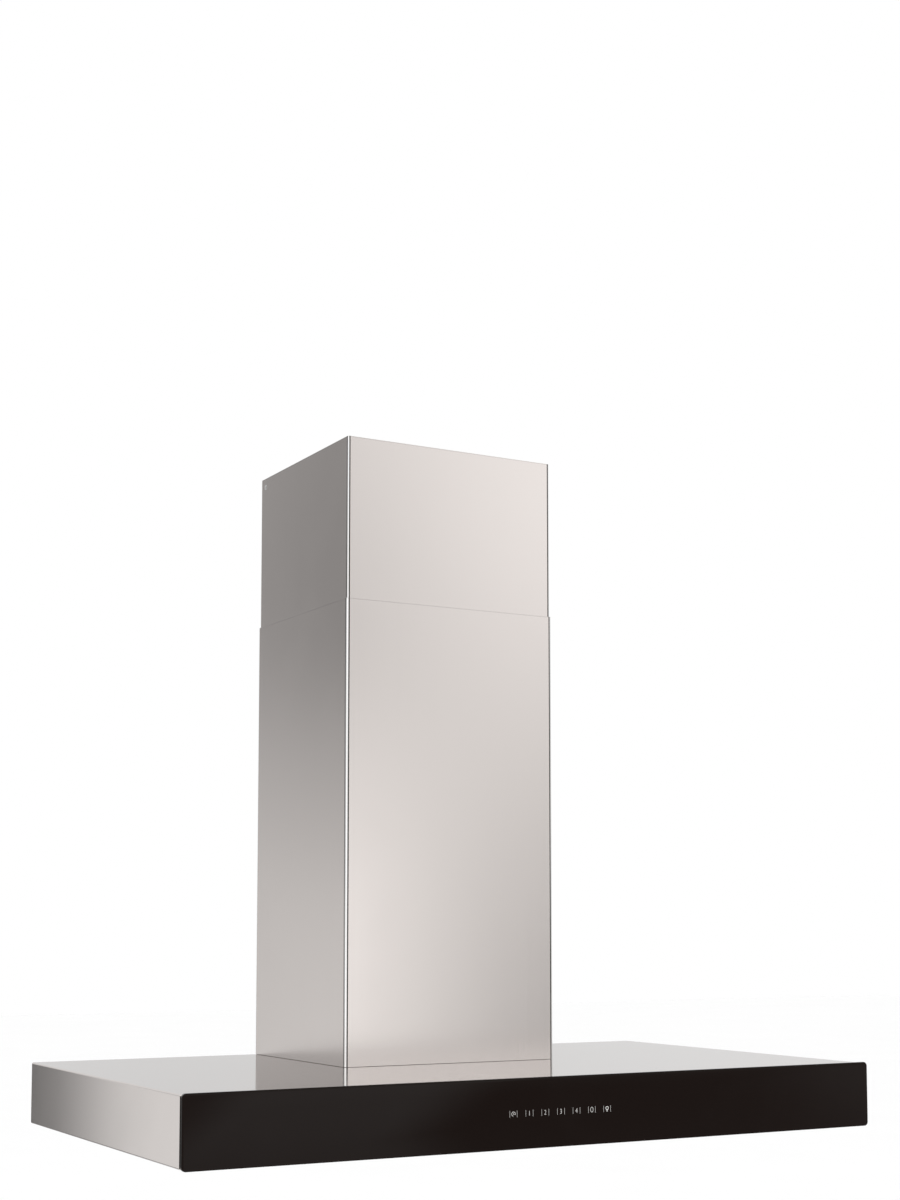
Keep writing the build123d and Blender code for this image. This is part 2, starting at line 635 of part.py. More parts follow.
def flue_wall_bracket():
    """Strap on the wall, stepped round the cover's flanges, with an ear inside each side."""
    inside = UPPER_HALF - SHEET
    step_y = UPPER_REAR - SHEET - 1.5
    strap = block((-BRACKET_HALF, BRACKET_HALF), (WALL_Y - BRACKET_T, WALL_Y), BRACKET_Z)
    jog = block((BRACKET_HALF - BRACKET_T, BRACKET_HALF), (step_y - BRACKET_T, WALL_Y), BRACKET_Z)
    wing = block((BRACKET_HALF - BRACKET_T, inside), (step_y - BRACKET_T, step_y), BRACKET_Z)
    ear = block((inside - BRACKET_T, inside), (step_y - BRACKET_EAR, step_y), BRACKET_Z)
    bracket = strap
    for piece in (jog, wing, ear):
        for copy in both_sides(piece):
            bracket = bracket + copy
    for hole in both_sides(side_screw_holes(SHEET + BRACKET_T + 2)):
        bracket = bracket - hole
    for x in (-BRACKET_HOLES_X / 2, BRACKET_HOLES_X / 2):
        bracket -= rod((x, WALL_Y - BRACKET_T - 1, SIDE_SCREW[1]), (0, 1, 0), BRACKET_HOLE_R, BRACKET_T + 2)
    return bracket


def flue_side_screws():
    """Thin-head screws through the upper cover's sides into the bracket's ears."""
    y, z = SIDE_SCREW
    length = SHEET + BRACKET_T + 3.0
    screw = pan_screw((-UPPER_HALF, y, z), (1, 0, 0), SIDE_SCREW_R, length, CASE_HEAD_R, SIDE_HEAD_H)
    return joined(both_sides(screw))


# --- blower box ----------------------------------------------------------------------------------
def wall_hole_places():
    return [
        (x, WALL_HOLE_Z + z)
        for x in (-WALL_HOLES_X / 2, WALL_HOLES_X / 2)
        for z in (-WALL_HOLES_Z / 2, WALL_HOLES_Z / 2)
    ]


def box_screw_places():
    return [(side * BOX_SCREW_X, y) for side in (-1, 1) for y in BOX_SCREW_Y[:2]] + [
        (-BOX_SCREW_X, BOX_SCREW_Y[2])
    ]


def plate_screw_places():
    return [
        (x, WALL_HOLE_Z + z)
        for x in (-PLATE_SCREWS_X / 2, PLATE_SCREWS_X / 2)
        for z in (-PLATE_SCREWS_Z / 2, PLATE_SCREWS_Z / 2)
    ]


def collar_screw_places():
    half = COLLAR_HALF - 8.0
    return [(x, BOX_MID + y) for x in (-half, half) for y in (-half, half)]


def blower_box():
    """Galvanised casing over the canopy's top opening, with the outlet in its roof."""
    box = block((-BOX_HALF, BOX_HALF), (BOX_FRONT, BOX_REAR), (TOP_Z, BOX_TOP))
    flange = block(
        (-BOX_HALF - BOX_FLANGE, BOX_HALF + BOX_FLANGE),
        (BOX_FRONT - BOX_FLANGE, BOX_REAR),
        (TOP_Z, TOP_Z + BOX_FLANGE_T),
    )
    box = box + flange
    box -= block((-BOX_HALF + 1, BOX_HALF - 1), (BOX_FRONT + 1, BOX_REAR - 1), (TOP_Z - 1, BOX_TOP - 1))
    box -= rod((0, BOX_MID, BOX_TOP - 2), (0, 0, 1), MOUTH_HALF, 4)
    box -= rod((*LEAD_HOLE, TOP_Z - 1), (0, 0, 1), LEAD_HOLE_R, BOX_FLANGE_T + 2)
    for x, z in wall_hole_places():
        box -= rod((x, BOX_REAR - 3, z), (0, 1, 0), ACCESS_R, 5)
    for x, z in plate_screw_places():
        box -= rod((x, BOX_REAR - 3, z), (0, 1, 0), CASE_SCREW_R + SNUG, 5)
    for x, y in box_screw_places():
        box -= rod((x, y, TOP_Z - 1), (0, 0, 1), CASE_SCREW_R + SNUG, BOX_FLANGE_T + 2)
    for x, y in collar_screw_places():
        box -= rod((x, y, BOX_TOP - 2), (0, 0, 1), CASE_SCREW_R + SNUG, 4)
    return box


def case_screw(head, along):
    """The one small pan-head screw used on the casing, collar, wall plate and flue foot."""
    return pan_screw(head, along, CASE_SCREW_R, CASE_SCREW_L, CASE_HEAD_R, CASE_HEAD_H)


def case_screws():
    down = (0, 0, -1)
    screws = [case_screw((x, y, TOP_Z + BOX_FLANGE_T), down) for x, y in box_screw_places()]
    screws += [case_screw((x, y, TOP_Z + SHEET), down) for x, y in foot_screw_places()]
    screws += [case_screw((x, y, BOX_TOP + COLLAR_BASE_T), down) for x, y in collar_screw_places()]
    return joined(screws)


def wall_plate():
    plate = block((-PLATE_W / 2, PLATE_W / 2), (BOX_REAR, WALL_Y), (PLATE_Z, PLATE_Z + PLATE_H))
    plate = fillet(plate.edges().filter_by(Axis.Y), 6.0)
    for x, z in wall_hole_places():
        plate -= rod((x, BOX_REAR - 1, z), (0, 1, 0), WALL_HOLE_R, PLATE_T + 2)
    for x, z in plate_screw_places():
        plate -= rod((x, BOX_REAR - 1, z), (0, 1, 0), CASE_SCREW_R + SNUG, PLATE_T + 2)
    return plate


def plate_screws():
    """Screws from inside the blower box; their ends stay inside the plate's thickness."""
    return joined(
        pan_screw((x, BOX_REAR - SHEET, z), (0, 1, 0), CASE_SCREW_R, PLATE_T + 0.8, CASE_HEAD_R, CASE_HEAD_H)
        for x, z in plate_screw_places()
    )


def outlet_collar():
    """Duct collar on a square base, with the flaps' pin holes through its wall."""
    half = COLLAR_HALF
    base = block((-half, half), (BOX_MID - half, BOX_MID + half), (BOX_TOP, BOX_TOP + COLLAR_BASE_T))
    base = fillet(upright(base), 8.0)
    collar = base + rod((0, BOX_MID, BOX_TOP), (0, 0, 1), DUCT_R, COLLAR_H)
    collar -= rod((0, BOX_MID, BOX_TOP - 1), (0, 0, 1), COLLAR_IN, COLLAR_H + 2)
    ledge_z = FLAP_LOW - LEDGE_GAP - 2.0
    collar += ring((0, BOX_MID, ledge_z), (0, 0, 1), COLLAR_IN + 1, COLLAR_IN - FLAP_LEDGE, 2.0)
    for y in flap_axes():
        collar -= rod((-DUCT_R - 1, y, FLAP_AXIS_Z), (1, 0, 0), PIN_R + SNUG, 2 * DUCT_R + 2)
    for x, y in collar_screw_places():
        collar -= rod((x, y, BOX_TOP - 1), (0, 0, 1), CASE_SCREW_R + SNUG, COLLAR_BASE_T + 2)
    return collar


def flap_axes():
    return (BOX_MID - FLAP_AXIS_OFFSET, BOX_MID + FLAP_AXIS_OFFSET)


def flap_pins():
    return joined(
        rod((-DUCT_R + 0.5, y, FLAP_AXIS_Z), (1, 0, 0), PIN_R, 2 * DUCT_R - 1) for y in flap_axes()
    )


def flap(side):
    """Half-disc flap with its hinge barrel; side -1 is towards the front, +1 towards the wall."""
    axis_y = BOX_MID + side * FLAP_AXIS_OFFSET
    disc = rod((0, BOX_MID, FLAP_LOW), (0, 0, 1), FLAP_R, FLAP_T)
    far = axis_y + side * 2 * FLAP_R
    half = block((-FLAP_R, FLAP_R), sorted((axis_y, far)), (FLAP_LOW - 1, FLAP_LOW + FLAP_T + 1))
    length = 2 * math.sqrt((COLLAR_IN - FLAP_LEDGE) ** 2 - (FLAP_AXIS_OFFSET + BARREL_R) ** 2) - 1
    barrel = rod((-length / 2, axis_y, FLAP_AXIS_Z), (1, 0, 0), BARREL_R, length)
    bore = rod((-DUCT_R, axis_y, FLAP_AXIS_Z), (1, 0, 0), PIN_R + PIN_RUN, 2 * DUCT_R)
    clear = joined(
        block(
            sorted((end * length / 2, end * DUCT_R)),
            (axis_y - 5, axis_y + 5),
            (FLAP_LOW - 3, FLAP_LOW + 5),
        )
        for end in (-1, 1)
    )
    return (disc & half) + barrel - bore - clear


# --- fan -----------------------------------------------------------------------------------------
def scroll_face(wall):
    """Scroll outline in the YZ plane: a small arc, a large arc and a mouth, grown by `wall`."""
    small = SMALL_R + wall
    large = SCROLL_R + wall
    low = FAN_Z - small
    left = BOX_MID - large
    left_z = low + large
    top = BOX_TOP - 1.0
    angle = math.radians(50)
    cut = (BOX_MID + small * math.cos(angle), FAN_Z + small * math.sin(angle))
    upper = (BOX_MID + small * math.cos(angle / 2), FAN_Z + small * math.sin(angle / 2))
    right = (BOX_MID + small, FAN_Z)
    turn = math.radians(225)
    mid = (BOX_MID + large * math.cos(turn), left_z + large * math.sin(turn))
    bend = math.radians(-45)
    quarter = (BOX_MID + small * math.cos(bend), FAN_Z + small * math.sin(bend))
    mouth = MOUTH_HALF - SCROLL_WALL + wall
    with BuildSketch() as sketch:
        with BuildLine():
            ThreePointArc(cut, upper, right)
            ThreePointArc(right, quarter, (BOX_MID, low))
            ThreePointArc((BOX_MID, low), mid, (left, left_z))
            Polyline((left, left_z), (BOX_MID - mouth, top), (BOX_MID + mouth, top), cut)
        make_face()
    return sketch.sketch


def scroll_slab(wall, x_low, x_high):
    """The outline as a slab between two X values."""
    plane = Plane(origin=(x_low, 0, 0), x_dir=(0, 1, 0), z_dir=(1, 0, 0))
    return extrude(plane * scroll_face(wall), x_high - x_low)


def scroll_half(side):
    half = SCROLL_W / 2
    span = (0, half) if side > 0 else (-half, 0)
    inner = (-1, half - SCROLL_WALL) if side > 0 else (-half + SCROLL_WALL, 1)
    shell = scroll_slab(SCROLL_WALL, *span) - scroll_slab(0, *inner)
    mouth = MOUTH_HALF - SCROLL_WALL
    shell -= block(inner, (BOX_MID - mouth, BOX_MID + mouth), (BOX_TOP - 6, BOX_TOP))
    shell -= rod((side * (half - 5), BOX_MID, FAN_Z), (side, 0, 0), INLET_R_FAN, 10)
    if side < 0:
        for y, z in grommet_places():
            shell -= rod((-half - 1, y, z), (1, 0, 0), MOTOR_SCREW_R + SNUG, SCROLL_WALL + 2)
    return shell


def grommet_places():
    radius = INLET_R_FAN + GROMMET_OUT
    return [
        (BOX_MID + radius * math.cos(a), FAN_Z + radius * math.sin(a))
        for a in (math.radians(90 + 120 * i) for i in range(3))
    ]


def impeller():
    """Double-inlet wheel: hub, middle disc, two rims and straight blades."""
    along = (1, 0, 0)
    middle = (DISC_X, BOX_MID, FAN_Z)
    half = IMPELLER_W / 2
    wheel = rod(middle, along, IMPELLER_R, 2.0)
    wheel += rod((DISC_X - 4, BOX_MID, FAN_Z), along, 12.0, 18.0)
    for x in (-half, half - 3):
        wheel += ring((x, BOX_MID, FAN_Z), along, IMPELLER_R, IMPELLER_R - BLADE_DEPTH, 3.0)
    for i in range(BLADES):
        blade = block((-half + 1, half - 1), (IMPELLER_R - BLADE_DEPTH + 1, IMPELLER_R - 1), (-0.6, 0.6))
        wheel += Pos(0, BOX_MID, FAN_Z) * Rot(360 / BLADES * i, 0, 0) * blade
    return wheel - rod((DISC_X - 10, BOX_MID, FAN_Z), along, SHAFT_R + SNUG, 40)


def motor_shaft():
    return rod((BRACKET_X - 1, BOX_MID, FAN_Z), (1, 0, 0), SHAFT_R, DISC_X + 16 - BRACKET_X)


def motor_body():
    """Closed motor with a bore for the shaft and a pocket for a bearing at each end."""
    along = (1, 0, 0)
    length = MOTOR_END - BRACKET_X
    body = rod((BRACKET_X, BOX_MID, FAN_Z), along, MOTOR_R, length)
    body = fillet(body.edges().filter_by(GeomType.CIRCLE).group_by(Axis.X)[-1], 4.0)
    body -= rod((BRACKET_X - 1, BOX_MID, FAN_Z), along, SHAFT_R + 2.0, length + 2)
    for x in (BRACKET_X - 1, MOTOR_END - BEARING_W):
        body -= rod((x, BOX_MID, FAN_Z), along, BEARING_R, BEARING_W + 1)
    return body


def motor_bearings():
    return joined(
        ring((x, BOX_MID, FAN_Z), (1, 0, 0), BEARING_R - SNUG, SHAFT_R + RUN, BEARING_W)
        for x in (BRACKET_X, MOTOR_END - BEARING_W)
    )


def motor_bracket():
    """Three-armed steel spider that carries the motor in the left inlet."""
    along = (1, 0, 0)
    start = (BRACKET_X - 2, BOX_MID, FAN_Z)
    spider = rod(start, along, MOTOR_R - 4, 2.0)
    for y, z in grommet_places():
        spider += rod((BRACKET_X - 2, y, z), along, 8.0, 2.0)
    for i in range(3):
        arm = block((-2, 0), (0, INLET_R_FAN + GROMMET_OUT), (-7, 7))
        spider += Pos(BRACKET_X, BOX_MID, FAN_Z) * Rot(90 + 120 * i, 0, 0) * arm
    spider -= rod((BRACKET_X - 3, BOX_MID, FAN_Z), along, SHAFT_R + 2.0, 4)
    for y, z in grommet_places():
        spider -= rod((BRACKET_X - 3, y, z), along, MOTOR_SCREW_R + SNUG, 4)
    return spider


def motor_grommets():
    return joined(
        ring((BRACKET_X, y, z), (1, 0, 0), 6.5, MOTOR_SCREW_R + SNUG, GROMMET_H) for y, z in grommet_places()
    )


def motor_screws():
    return joined(
        pan_screw((BRACKET_X - 2, y, z), (1, 0, 0), MOTOR_SCREW_R, GROMMET_H + 5.5, 4.0, 2.2)
        for y, z in grommet_places()
    )


def capacitor():
    can = rod((CAP_X, CAP_Y, CAP_Z), (0, 0, 1), CAP_R, CAP_LEN)
    can = fillet(can.edges().filter_by(GeomType.CIRCLE), 1.5)
    for x in (CAP_X - 4, CAP_X + 4):
        can += rod((x, CAP_Y, CAP_Z - 6), (0, 0, 1), 1.5, 7)
    return can


def capacitor_clip():
    z = CAP_Z + CAP_LEN / 2 - 7
    band = ring((CAP_X, CAP_Y, z), (0, 0, 1), CAP_R + 1.0, CAP_R + SNUG, 14)
    tab = block((CAP_X + CAP_R + 0.5, BOX_HALF - 1), (CAP_Y - 8, CAP_Y + 8), (z, z + 14))
    return band + tab


# --- mains connection ----------------------------------------------------------------------------
def terminal_box():
    box = block(TERMINAL_X, TERMINAL_Y, (BOX_TOP, TERMINAL_TOP - COVER_T))
    box = fillet(upright(box), 2.0)
    box -= block(
        (TERMINAL_X[0] + 2, TERMINAL_X[1] - 2),
        (TERMINAL_Y[0] + 2, TERMINAL_Y[1] - 2),
        (BOX_TOP + 2, TERMINAL_TOP),
    )
    box -= rod((INLET[0], TERMINAL_Y[1] - 3, INLET[1]), (0, 1, 0), INLET_R + 2.0, 5)
    return box - rod((TERMINAL_X[1] - 3, LEAD_HOLE[1], BOX_TOP + 14), (1, 0, 0), LEAD_R + SNUG, 5)


def terminal_box_cover():
    cover = block(TERMINAL_X, TERMINAL_Y, (TERMINAL_TOP - COVER_T, TERMINAL_TOP))
    return fillet(upright(cover), 2.0)


def terminal_block():
    """Three-way screw terminal inside the connection box."""
    z = BOX_TOP + 2
    mid_x = INLET[0]
    mid_y = sum(TERMINAL_Y) / 2 - 10
    body = block((mid_x - 8, mid_x + 8), (mid_y - 18, mid_y + 18), (z, z + 14))
    for dy in (-12, 0, 12):
        body -= rod((mid_x, mid_y + dy, z + 8), (0, 0, 1), 2.5, 8)
    return body


def cable_gland():
    """Rubber bush that lines the mains inlet."""
    inner = ring((INLET[0], TERMINAL_Y[1] - 4, INLET[1]), (0, 1, 0), INLET_R + 3.5, INLET_R, 2.0)
    neck = ring((INLET[0], TERMINAL_Y[1] - 2, INLET[1]), (0, 1, 0), INLET_R + 2.0 - SNUG, INLET_R, 2.0)
    outer = ring((INLET[0], TERMINAL_Y[1], INLET[1]), (0, 1, 0), INLET_R + 3.5, INLET_R, 2.5)
    return inner + neck + outer


def lead_bush():
    """Bush round the inner lead where it passes the canopy's top."""
    z = TOP_Z - SHEET
    return ring((*LEAD_HOLE, z), (0, 0, 1), LEAD_HOLE_R - SNUG, LEAD_R + SNUG, SHEET + BOX_FLANGE_T + 2.0)


def tube(points, radii, radius):
    """Round lead along straight runs joined by arcs."""
    route = FilletPolyline(*points, radius=radii)
    section = Plane(origin=route @ 0, z_dir=route % 0) * Circle(radius)
    return sweep(section, path=route)


def supply_lead():
    """Inner lead, from the connection box down beside the blower box and across to the control box."""
    x, y = LEAD_HOLE
    enter_y = BOX_MID + 20
    box_z = CONTROL_TOP - CONTROL_H / 2
    points = [
        (TERMINAL_X[1] - 2, y, BOX_TOP + 14),
        (x, y, BOX_TOP + 14),
        (x, y, box_z),
        (x + 30, enter_y, box_z),
        (CONTROL_SPAN[0], enter_y, box_z),
    ]
    return tube(points, [6.0, 12.0, 14.0], LEAD_R)


def touch_lead():
    """Thin lead from the touch housing to the control box, clipped under the canopy's top."""
    start_y = BODY_Y + TOUCH_D - TOUCH_WALL
    enter_y = BOX_MID - 20
    high = CONTROL_TOP - CONTROL_H / 2
    points = [
        (0, start_y, KEY_Z),
        (0, start_y + 30, KEY_Z),
        (40, start_y + 60, high),
        (CONTROL_SPAN[0] - 60, enter_y, high),
        (CONTROL_SPAN[0], enter_y, high),
    ]
    return tube(points, [10.0, 20.0, 20.0], LEAD_R * 0.7)


# --- write every node ----------------------------------------------------------------------------
def sided(name, shape):
    """Right-hand piece and its mirror image as two nodes."""
    right, left = both_sides(shape)
    return {name + "_right": right, name + "_left": left}


def nodes():
    out = {
        "canopy_shell": canopy_shell(),
        "front_glass": front_glass(),
        "glass_carrier": glass_carrier(),
        "bottom_panel": bottom_panel(),
        "bottom_panel_screws": bottom_panel_screws(),
        "touch_housing": touch_housing(),
        "touch_board": touch_board(),
        "touch_springs": touch_springs(),
        "control_box": control_box(),
        "control_box_cover": control_box_cover(),
        "power_board": power_board(),
        "lower_flue_cover": lower_flue_cover(),
        "upper_flue_cover": upper_flue_cover(),
        "flue_wall_bracket": flue_wall_bracket(),
        "flue_side_screws": flue_side_screws(),
        "blower_box": blower_box(),
        "case_screws": case_screws(),
        "wall_plate": wall_plate(),
        "wall_plate_screws": plate_screws(),
        "outlet_collar": outlet_collar(),
        "flap_pins": flap_pins(),
        "flap_front": flap(-1),
        "flap_rear": flap(1),
        "scroll_half_left": scroll_half(-1),
        "scroll_half_right": scroll_half(1),
        "impeller": impeller(),
        "motor_shaft": motor_shaft(),
        "motor_body": motor_body(),
        "motor_bearings": motor_bearings(),
        "motor_bracket": motor_bracket(),
        "motor_grommets": motor_grommets(),
        "motor_screws": motor_screws(),
        "capacitor": capacitor(),
        "capacitor_clip": capacitor_clip(),
        "terminal_box": terminal_box(),
        "terminal_box_cover": terminal_box_cover(),
        "terminal_block": terminal_block(),
        "cable_gland": cable_gland(),
        "lead_bush": lead_bush(),
        "supply_lead": supply_lead(),
        "touch_lead": touch_lead(),
    }
    for side, word in ((-1, "left"), (1, "right")):
        out["lamp_bezel_" + word], out["lamp_lens_" + word], out["lamp_body_" + word] = lamp(side)
    for name, shape in (
        ("filter_frame", filter_frame()),
        ("filter_mesh", filter_mesh()),
        ("filter_pins", filter_pins()),
        ("latch_seat", latch_seat()),
        ("filter_latch", filter_latch()),
        ("latch_spring", latch_spring()),
    ):
        out.update(sided(name, shape))
    return out


os.makedirs("parts", exist_ok=True)
for node, shape in nodes().items():
    export_step(shape, "parts/" + node + ".step")
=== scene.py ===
"""Finished look of a wall-mounted chimney range hood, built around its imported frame.

Lengths are metres in the row frame: X is the width, +Y points at the wall and +Z is up.
"""

import json
import math
from functools import cache, partial

import bmesh
import bpy
import numpy as np
from mathutils import Matrix, Vector

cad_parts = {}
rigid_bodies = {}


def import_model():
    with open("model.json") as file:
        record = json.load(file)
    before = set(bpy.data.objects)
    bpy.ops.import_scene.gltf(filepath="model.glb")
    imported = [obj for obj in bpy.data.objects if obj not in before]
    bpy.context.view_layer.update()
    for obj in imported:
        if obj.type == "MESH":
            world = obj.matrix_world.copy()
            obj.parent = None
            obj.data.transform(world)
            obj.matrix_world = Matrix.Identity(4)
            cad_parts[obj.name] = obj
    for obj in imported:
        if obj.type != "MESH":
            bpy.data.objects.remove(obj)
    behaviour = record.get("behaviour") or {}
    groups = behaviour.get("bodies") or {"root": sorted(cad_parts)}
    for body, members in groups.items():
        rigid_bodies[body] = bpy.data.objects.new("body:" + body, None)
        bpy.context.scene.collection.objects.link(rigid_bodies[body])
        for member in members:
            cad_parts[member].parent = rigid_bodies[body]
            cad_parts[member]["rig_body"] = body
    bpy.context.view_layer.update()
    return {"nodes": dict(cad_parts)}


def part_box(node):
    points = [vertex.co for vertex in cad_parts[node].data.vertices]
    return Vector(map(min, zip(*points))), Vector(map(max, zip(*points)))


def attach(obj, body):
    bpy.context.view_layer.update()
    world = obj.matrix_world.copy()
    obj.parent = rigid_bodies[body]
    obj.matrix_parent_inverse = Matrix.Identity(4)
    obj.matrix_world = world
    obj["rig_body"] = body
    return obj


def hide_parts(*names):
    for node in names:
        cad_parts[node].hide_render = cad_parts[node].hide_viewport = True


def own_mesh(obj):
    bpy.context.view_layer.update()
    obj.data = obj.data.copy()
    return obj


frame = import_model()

bl_info = {
    "name": "Chimney Range Hood",
    "version": (1, 0, 0),
    "blender": (4, 5, 0),
    "location": "3D View > Sidebar > Range Hood",
    "description": "Builds the finished range hood around its frame",
    "category": "Add Mesh",
}

MM = 0.001
FINE_BEND = 10          # steps in each folded corner
ROUND = 64              # steps round a turned piece
SHARP = 32              # degrees between two faces, past which their edge stays sharp
WELD = 2e-6             # corners of a node's triangles nearer than this are one corner
TINY = 1e-7             # edges shorter than this are dropped
MARK_DEPTH = 0.00008    # how far the key marks stand off the glass
FOOT_GAP = 0.00022      # shadow gap under the lower flue's foot
FOOT_INSET = 1.4 * MM   # how far inside the cover's faces its foot starts
FOOT_REAR = 4 * MM      # how far the foot stops short of the cover's rear
COVER_EASE = 0.22       # rounding of the covers' edges, in millimetres
SIDES = ("left", "right")

# Brightness round the horizon, by turn from the wall's direction in degrees.
WORLD_AROUND = (
    (-180, 0.55),
    (-168, 0.7),
    (-152, 1.1),
    (-118, 1.15),
    (-100, 0.7),
    (-84, 0.42),
    (-62, 0.3),
    (-44, 0.5),
    (-30, 0.95),
    (0, 0.95),
    (20, 0.72),
    (44, 0.8),
    (56, 0.6),
    (84, 0.46),
    (112, 0.6),
    (130, 0.9),
    (158, 1.3),
    (170, 0.62),
    (180, 0.55),
)
# Patches of the surroundings: their span in degrees of turn, and their brightness by rise.
WORLD_PATCHES = (
    (
        (-48, -36, -22, -17.5),
        ((-30, 1.0), (-6, 0.95), (0, 0.87), (4, 0.58), (9, 0.26), (16, 0.31), (30, 0.6)),
    ),
    (
        (-19.9, -16.5, 4, 12),
        ((-30, 0.9), (-14, 0.3), (-8, 0.125), (-1, 0.125), (1.5, 0.72), (30, 1.0)),
    ),
    (
        (124, 136, 164, 168),
        ((-30, 0.6), (-4, 0.4), (0, 0.58), (5, 0.95), (12, 1.45), (30, 1.3)),
    ),
    (
        (149, 155, 164, 168),
        ((-30, 1.0), (-4, 1.65), (0, 1.8), (5, 1.2), (9, 0.4), (14, 0.92), (30, 1.2)),
    ),
)


# --- small makers ----------------------------------------------------------------------------
def middle(node):
    """Centre of a node's box."""
    low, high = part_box(node)
    return (low + high) / 2


def linked(obj):
    """Put a new object in the scene."""
    bpy.context.scene.collection.objects.link(obj)
    return obj


def new_piece(name, verts, faces):
    """Mesh object at the origin with its place in its mesh."""
    mesh = bpy.data.meshes.new(name)
    mesh.from_pydata([tuple(v) for v in verts], [], faces)
    mesh.validate()
    return linked(bpy.data.objects.new(name, mesh))


def outward(obj):
    """Recalculate a closed mesh's normals."""
    bm = bmesh.new()
    bm.from_mesh(obj.data)
    bmesh.ops.remove_doubles(bm, verts=bm.verts, dist=TINY)
    bmesh.ops.recalc_face_normals(bm, faces=bm.faces)
    bm.to_mesh(obj.data)
    bm.free()
    return obj


def smooth(obj, degrees=SHARP):
    """Smooth faces with sharp edges above an angle."""
    obj.data.shade_smooth()
    obj.data.set_sharp_from_angle(angle=math.radians(degrees))
    return obj


def settle(obj):
    """Apply the live modifiers, so that the piece is a plain mesh."""
    graph = bpy.context.evaluated_depsgraph_get()
    live = obj.evaluated_get(graph)
    mesh = bpy.data.meshes.new_from_object(live, preserve_all_data_layers=True, depsgraph=graph)
    obj.modifiers.clear()
    obj.data = mesh
    return obj


def weighted(obj):
    """Turn the normals so that the flat faces look flat."""
    weigh = obj.modifiers.new("flat faces", "WEIGHTED_NORMAL")
    weigh.keep_sharp = True
    return settle(obj)


def eased(obj, millimetres):
    """Round the sharp edges a little and keep the flat faces flat."""
    bevel = obj.modifiers.new("eased", "BEVEL")
    bevel.width = millimetres * MM
    bevel.segments = 2
    bevel.limit_method = "ANGLE"
    bevel.angle_limit = math.radians(40)
    return weighted(smooth(settle(obj), 50))


def finished(obj, finish, body, slot, *stands_for):
    """Give a piece its finish, its body and the nodes that it stands for; its slot is not used."""
    obj.data.materials.clear()
    obj.data.materials.append(material(finish))
    for polygon in obj.data.polygons:
        polygon.material_index = 0
    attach(obj, body)
    if stands_for:
        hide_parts(*stands_for)
    return obj


def joined(name, pieces):
    """Several pieces as one mesh."""
    verts, faces = [], []
    for piece in pieces:
        start = len(verts)
        verts += [v.co.copy() for v in piece.data.vertices]
        faces += [[start + i for i in p.vertices] for p in piece.data.polygons]
        bpy.data.objects.remove(piece)
    return new_piece(name, verts, faces)


def node_bmesh(node):
    """A node's triangles with their doubles merged."""
    source = frame["nodes"][node].data
    bm = bmesh.new()
    verts = [bm.verts.new(v.co) for v in source.vertices]
    for polygon in source.polygons:
        bm.faces.new([verts[i] for i in polygon.vertices])
    bmesh.ops.remove_doubles(bm, verts=bm.verts, dist=WELD)
    return bm


def carried(node, name, finish, slot, ease=0.0):
    """Smoothed copy that stands for a node on its body, with its edges eased by millimetres."""
    bm = node_bmesh(node)
    bmesh.ops.dissolve_degenerate(bm, dist=TINY, edges=bm.edges)
    flat = {"angle_limit": math.radians(0.5), "use_dissolve_boundaries": False}
    bmesh.ops.dissolve_limit(bm, verts=bm.verts, edges=bm.edges, **flat)
    mesh = bpy.data.meshes.new(name)
    bm.to_mesh(mesh)
    bm.free()
    obj = smooth(linked(bpy.data.objects.new(name, mesh)))
    if ease:
        eased(obj, ease)
    else:
        weighted(obj)
    return finished(obj, finish, frame["nodes"][node]["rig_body"], slot, node)


def painted(finish, *nodes):
    """Give the nodes that stay their finish."""
    for node in nodes:
        obj = frame["nodes"][node]
        if not obj.material_slots:
            obj.data.materials.append(material(finish))
        for place in obj.material_slots:
            place.material = material(finish)


def rounded(points, radius, steps, closed=False):
    """Corners of a flat path replaced by arcs of one radius."""
    path = []
    count = len(points)
    for i, here in enumerate(points):
        here = Vector(here)
        if not closed and i in (0, count - 1):
            path.append(here)
            continue
        before = (Vector(points[i - 1]) - here).normalized()
        after = (Vector(points[(i + 1) % count]) - here).normalized()
        half = before.angle(after) / 2
        centre = here + (before + after).normalized() * (radius / math.sin(half))
        start = here + before * (radius / math.tan(half)) - centre
        end = here + after * (radius / math.tan(half)) - centre
        sweep = start.angle_signed(end)
        for k in range(steps + 1):
            turned = start.copy()
            turned.rotate(Matrix.Rotation(-sweep * k / steps, 2))
            path.append(centre + turned)
    return path


def offset(path, distance, closed=False):
    """A flat path moved sideways, to its left for a positive distance."""
    out = []
    count = len(path)
    for i, here in enumerate(path):
        before = path[i - 1] if closed or i > 0 else None
        after = path[(i + 1) % count] if closed or i < count - 1 else None
        ways = []
        if before is not None:
            ways.append((here - before).normalized())
        if after is not None:
            ways.append((after - here).normalized())
        sides = [Vector((-w.y, w.x)) for w in ways]
        side = sum(sides, Vector((0, 0))).normalized()
        out.append(here + side * (distance / side.dot(sides[0])))
    return out


def folded_sheet(name, path, thick, low, high):
    """Upright sheet that follows an open flat path, with closed ends."""
    outer = offset(path, thick / 2)
    inner = offset(path, -thick / 2)
    verts, faces = [], []
    for line in (outer, inner):
        for z in (low, high):
            verts += [(p.x, p.y, z) for p in line]
    n = len(path)
    for i in range(n - 1):
        a, b = i, i + 1
        faces += [
            (a, b, n + b, n + a),
            (2 * n + a, 3 * n + a, 3 * n + b, 2 * n + b),
            (n + a, n + b, 3 * n + b, 3 * n + a),
            (a, 2 * n + a, 2 * n + b, b),
        ]
    faces += [(0, n, 3 * n, 2 * n), (n - 1, 3 * n - 1, 4 * n - 1, 2 * n - 1)]
    return outward(new_piece(name, verts, faces))


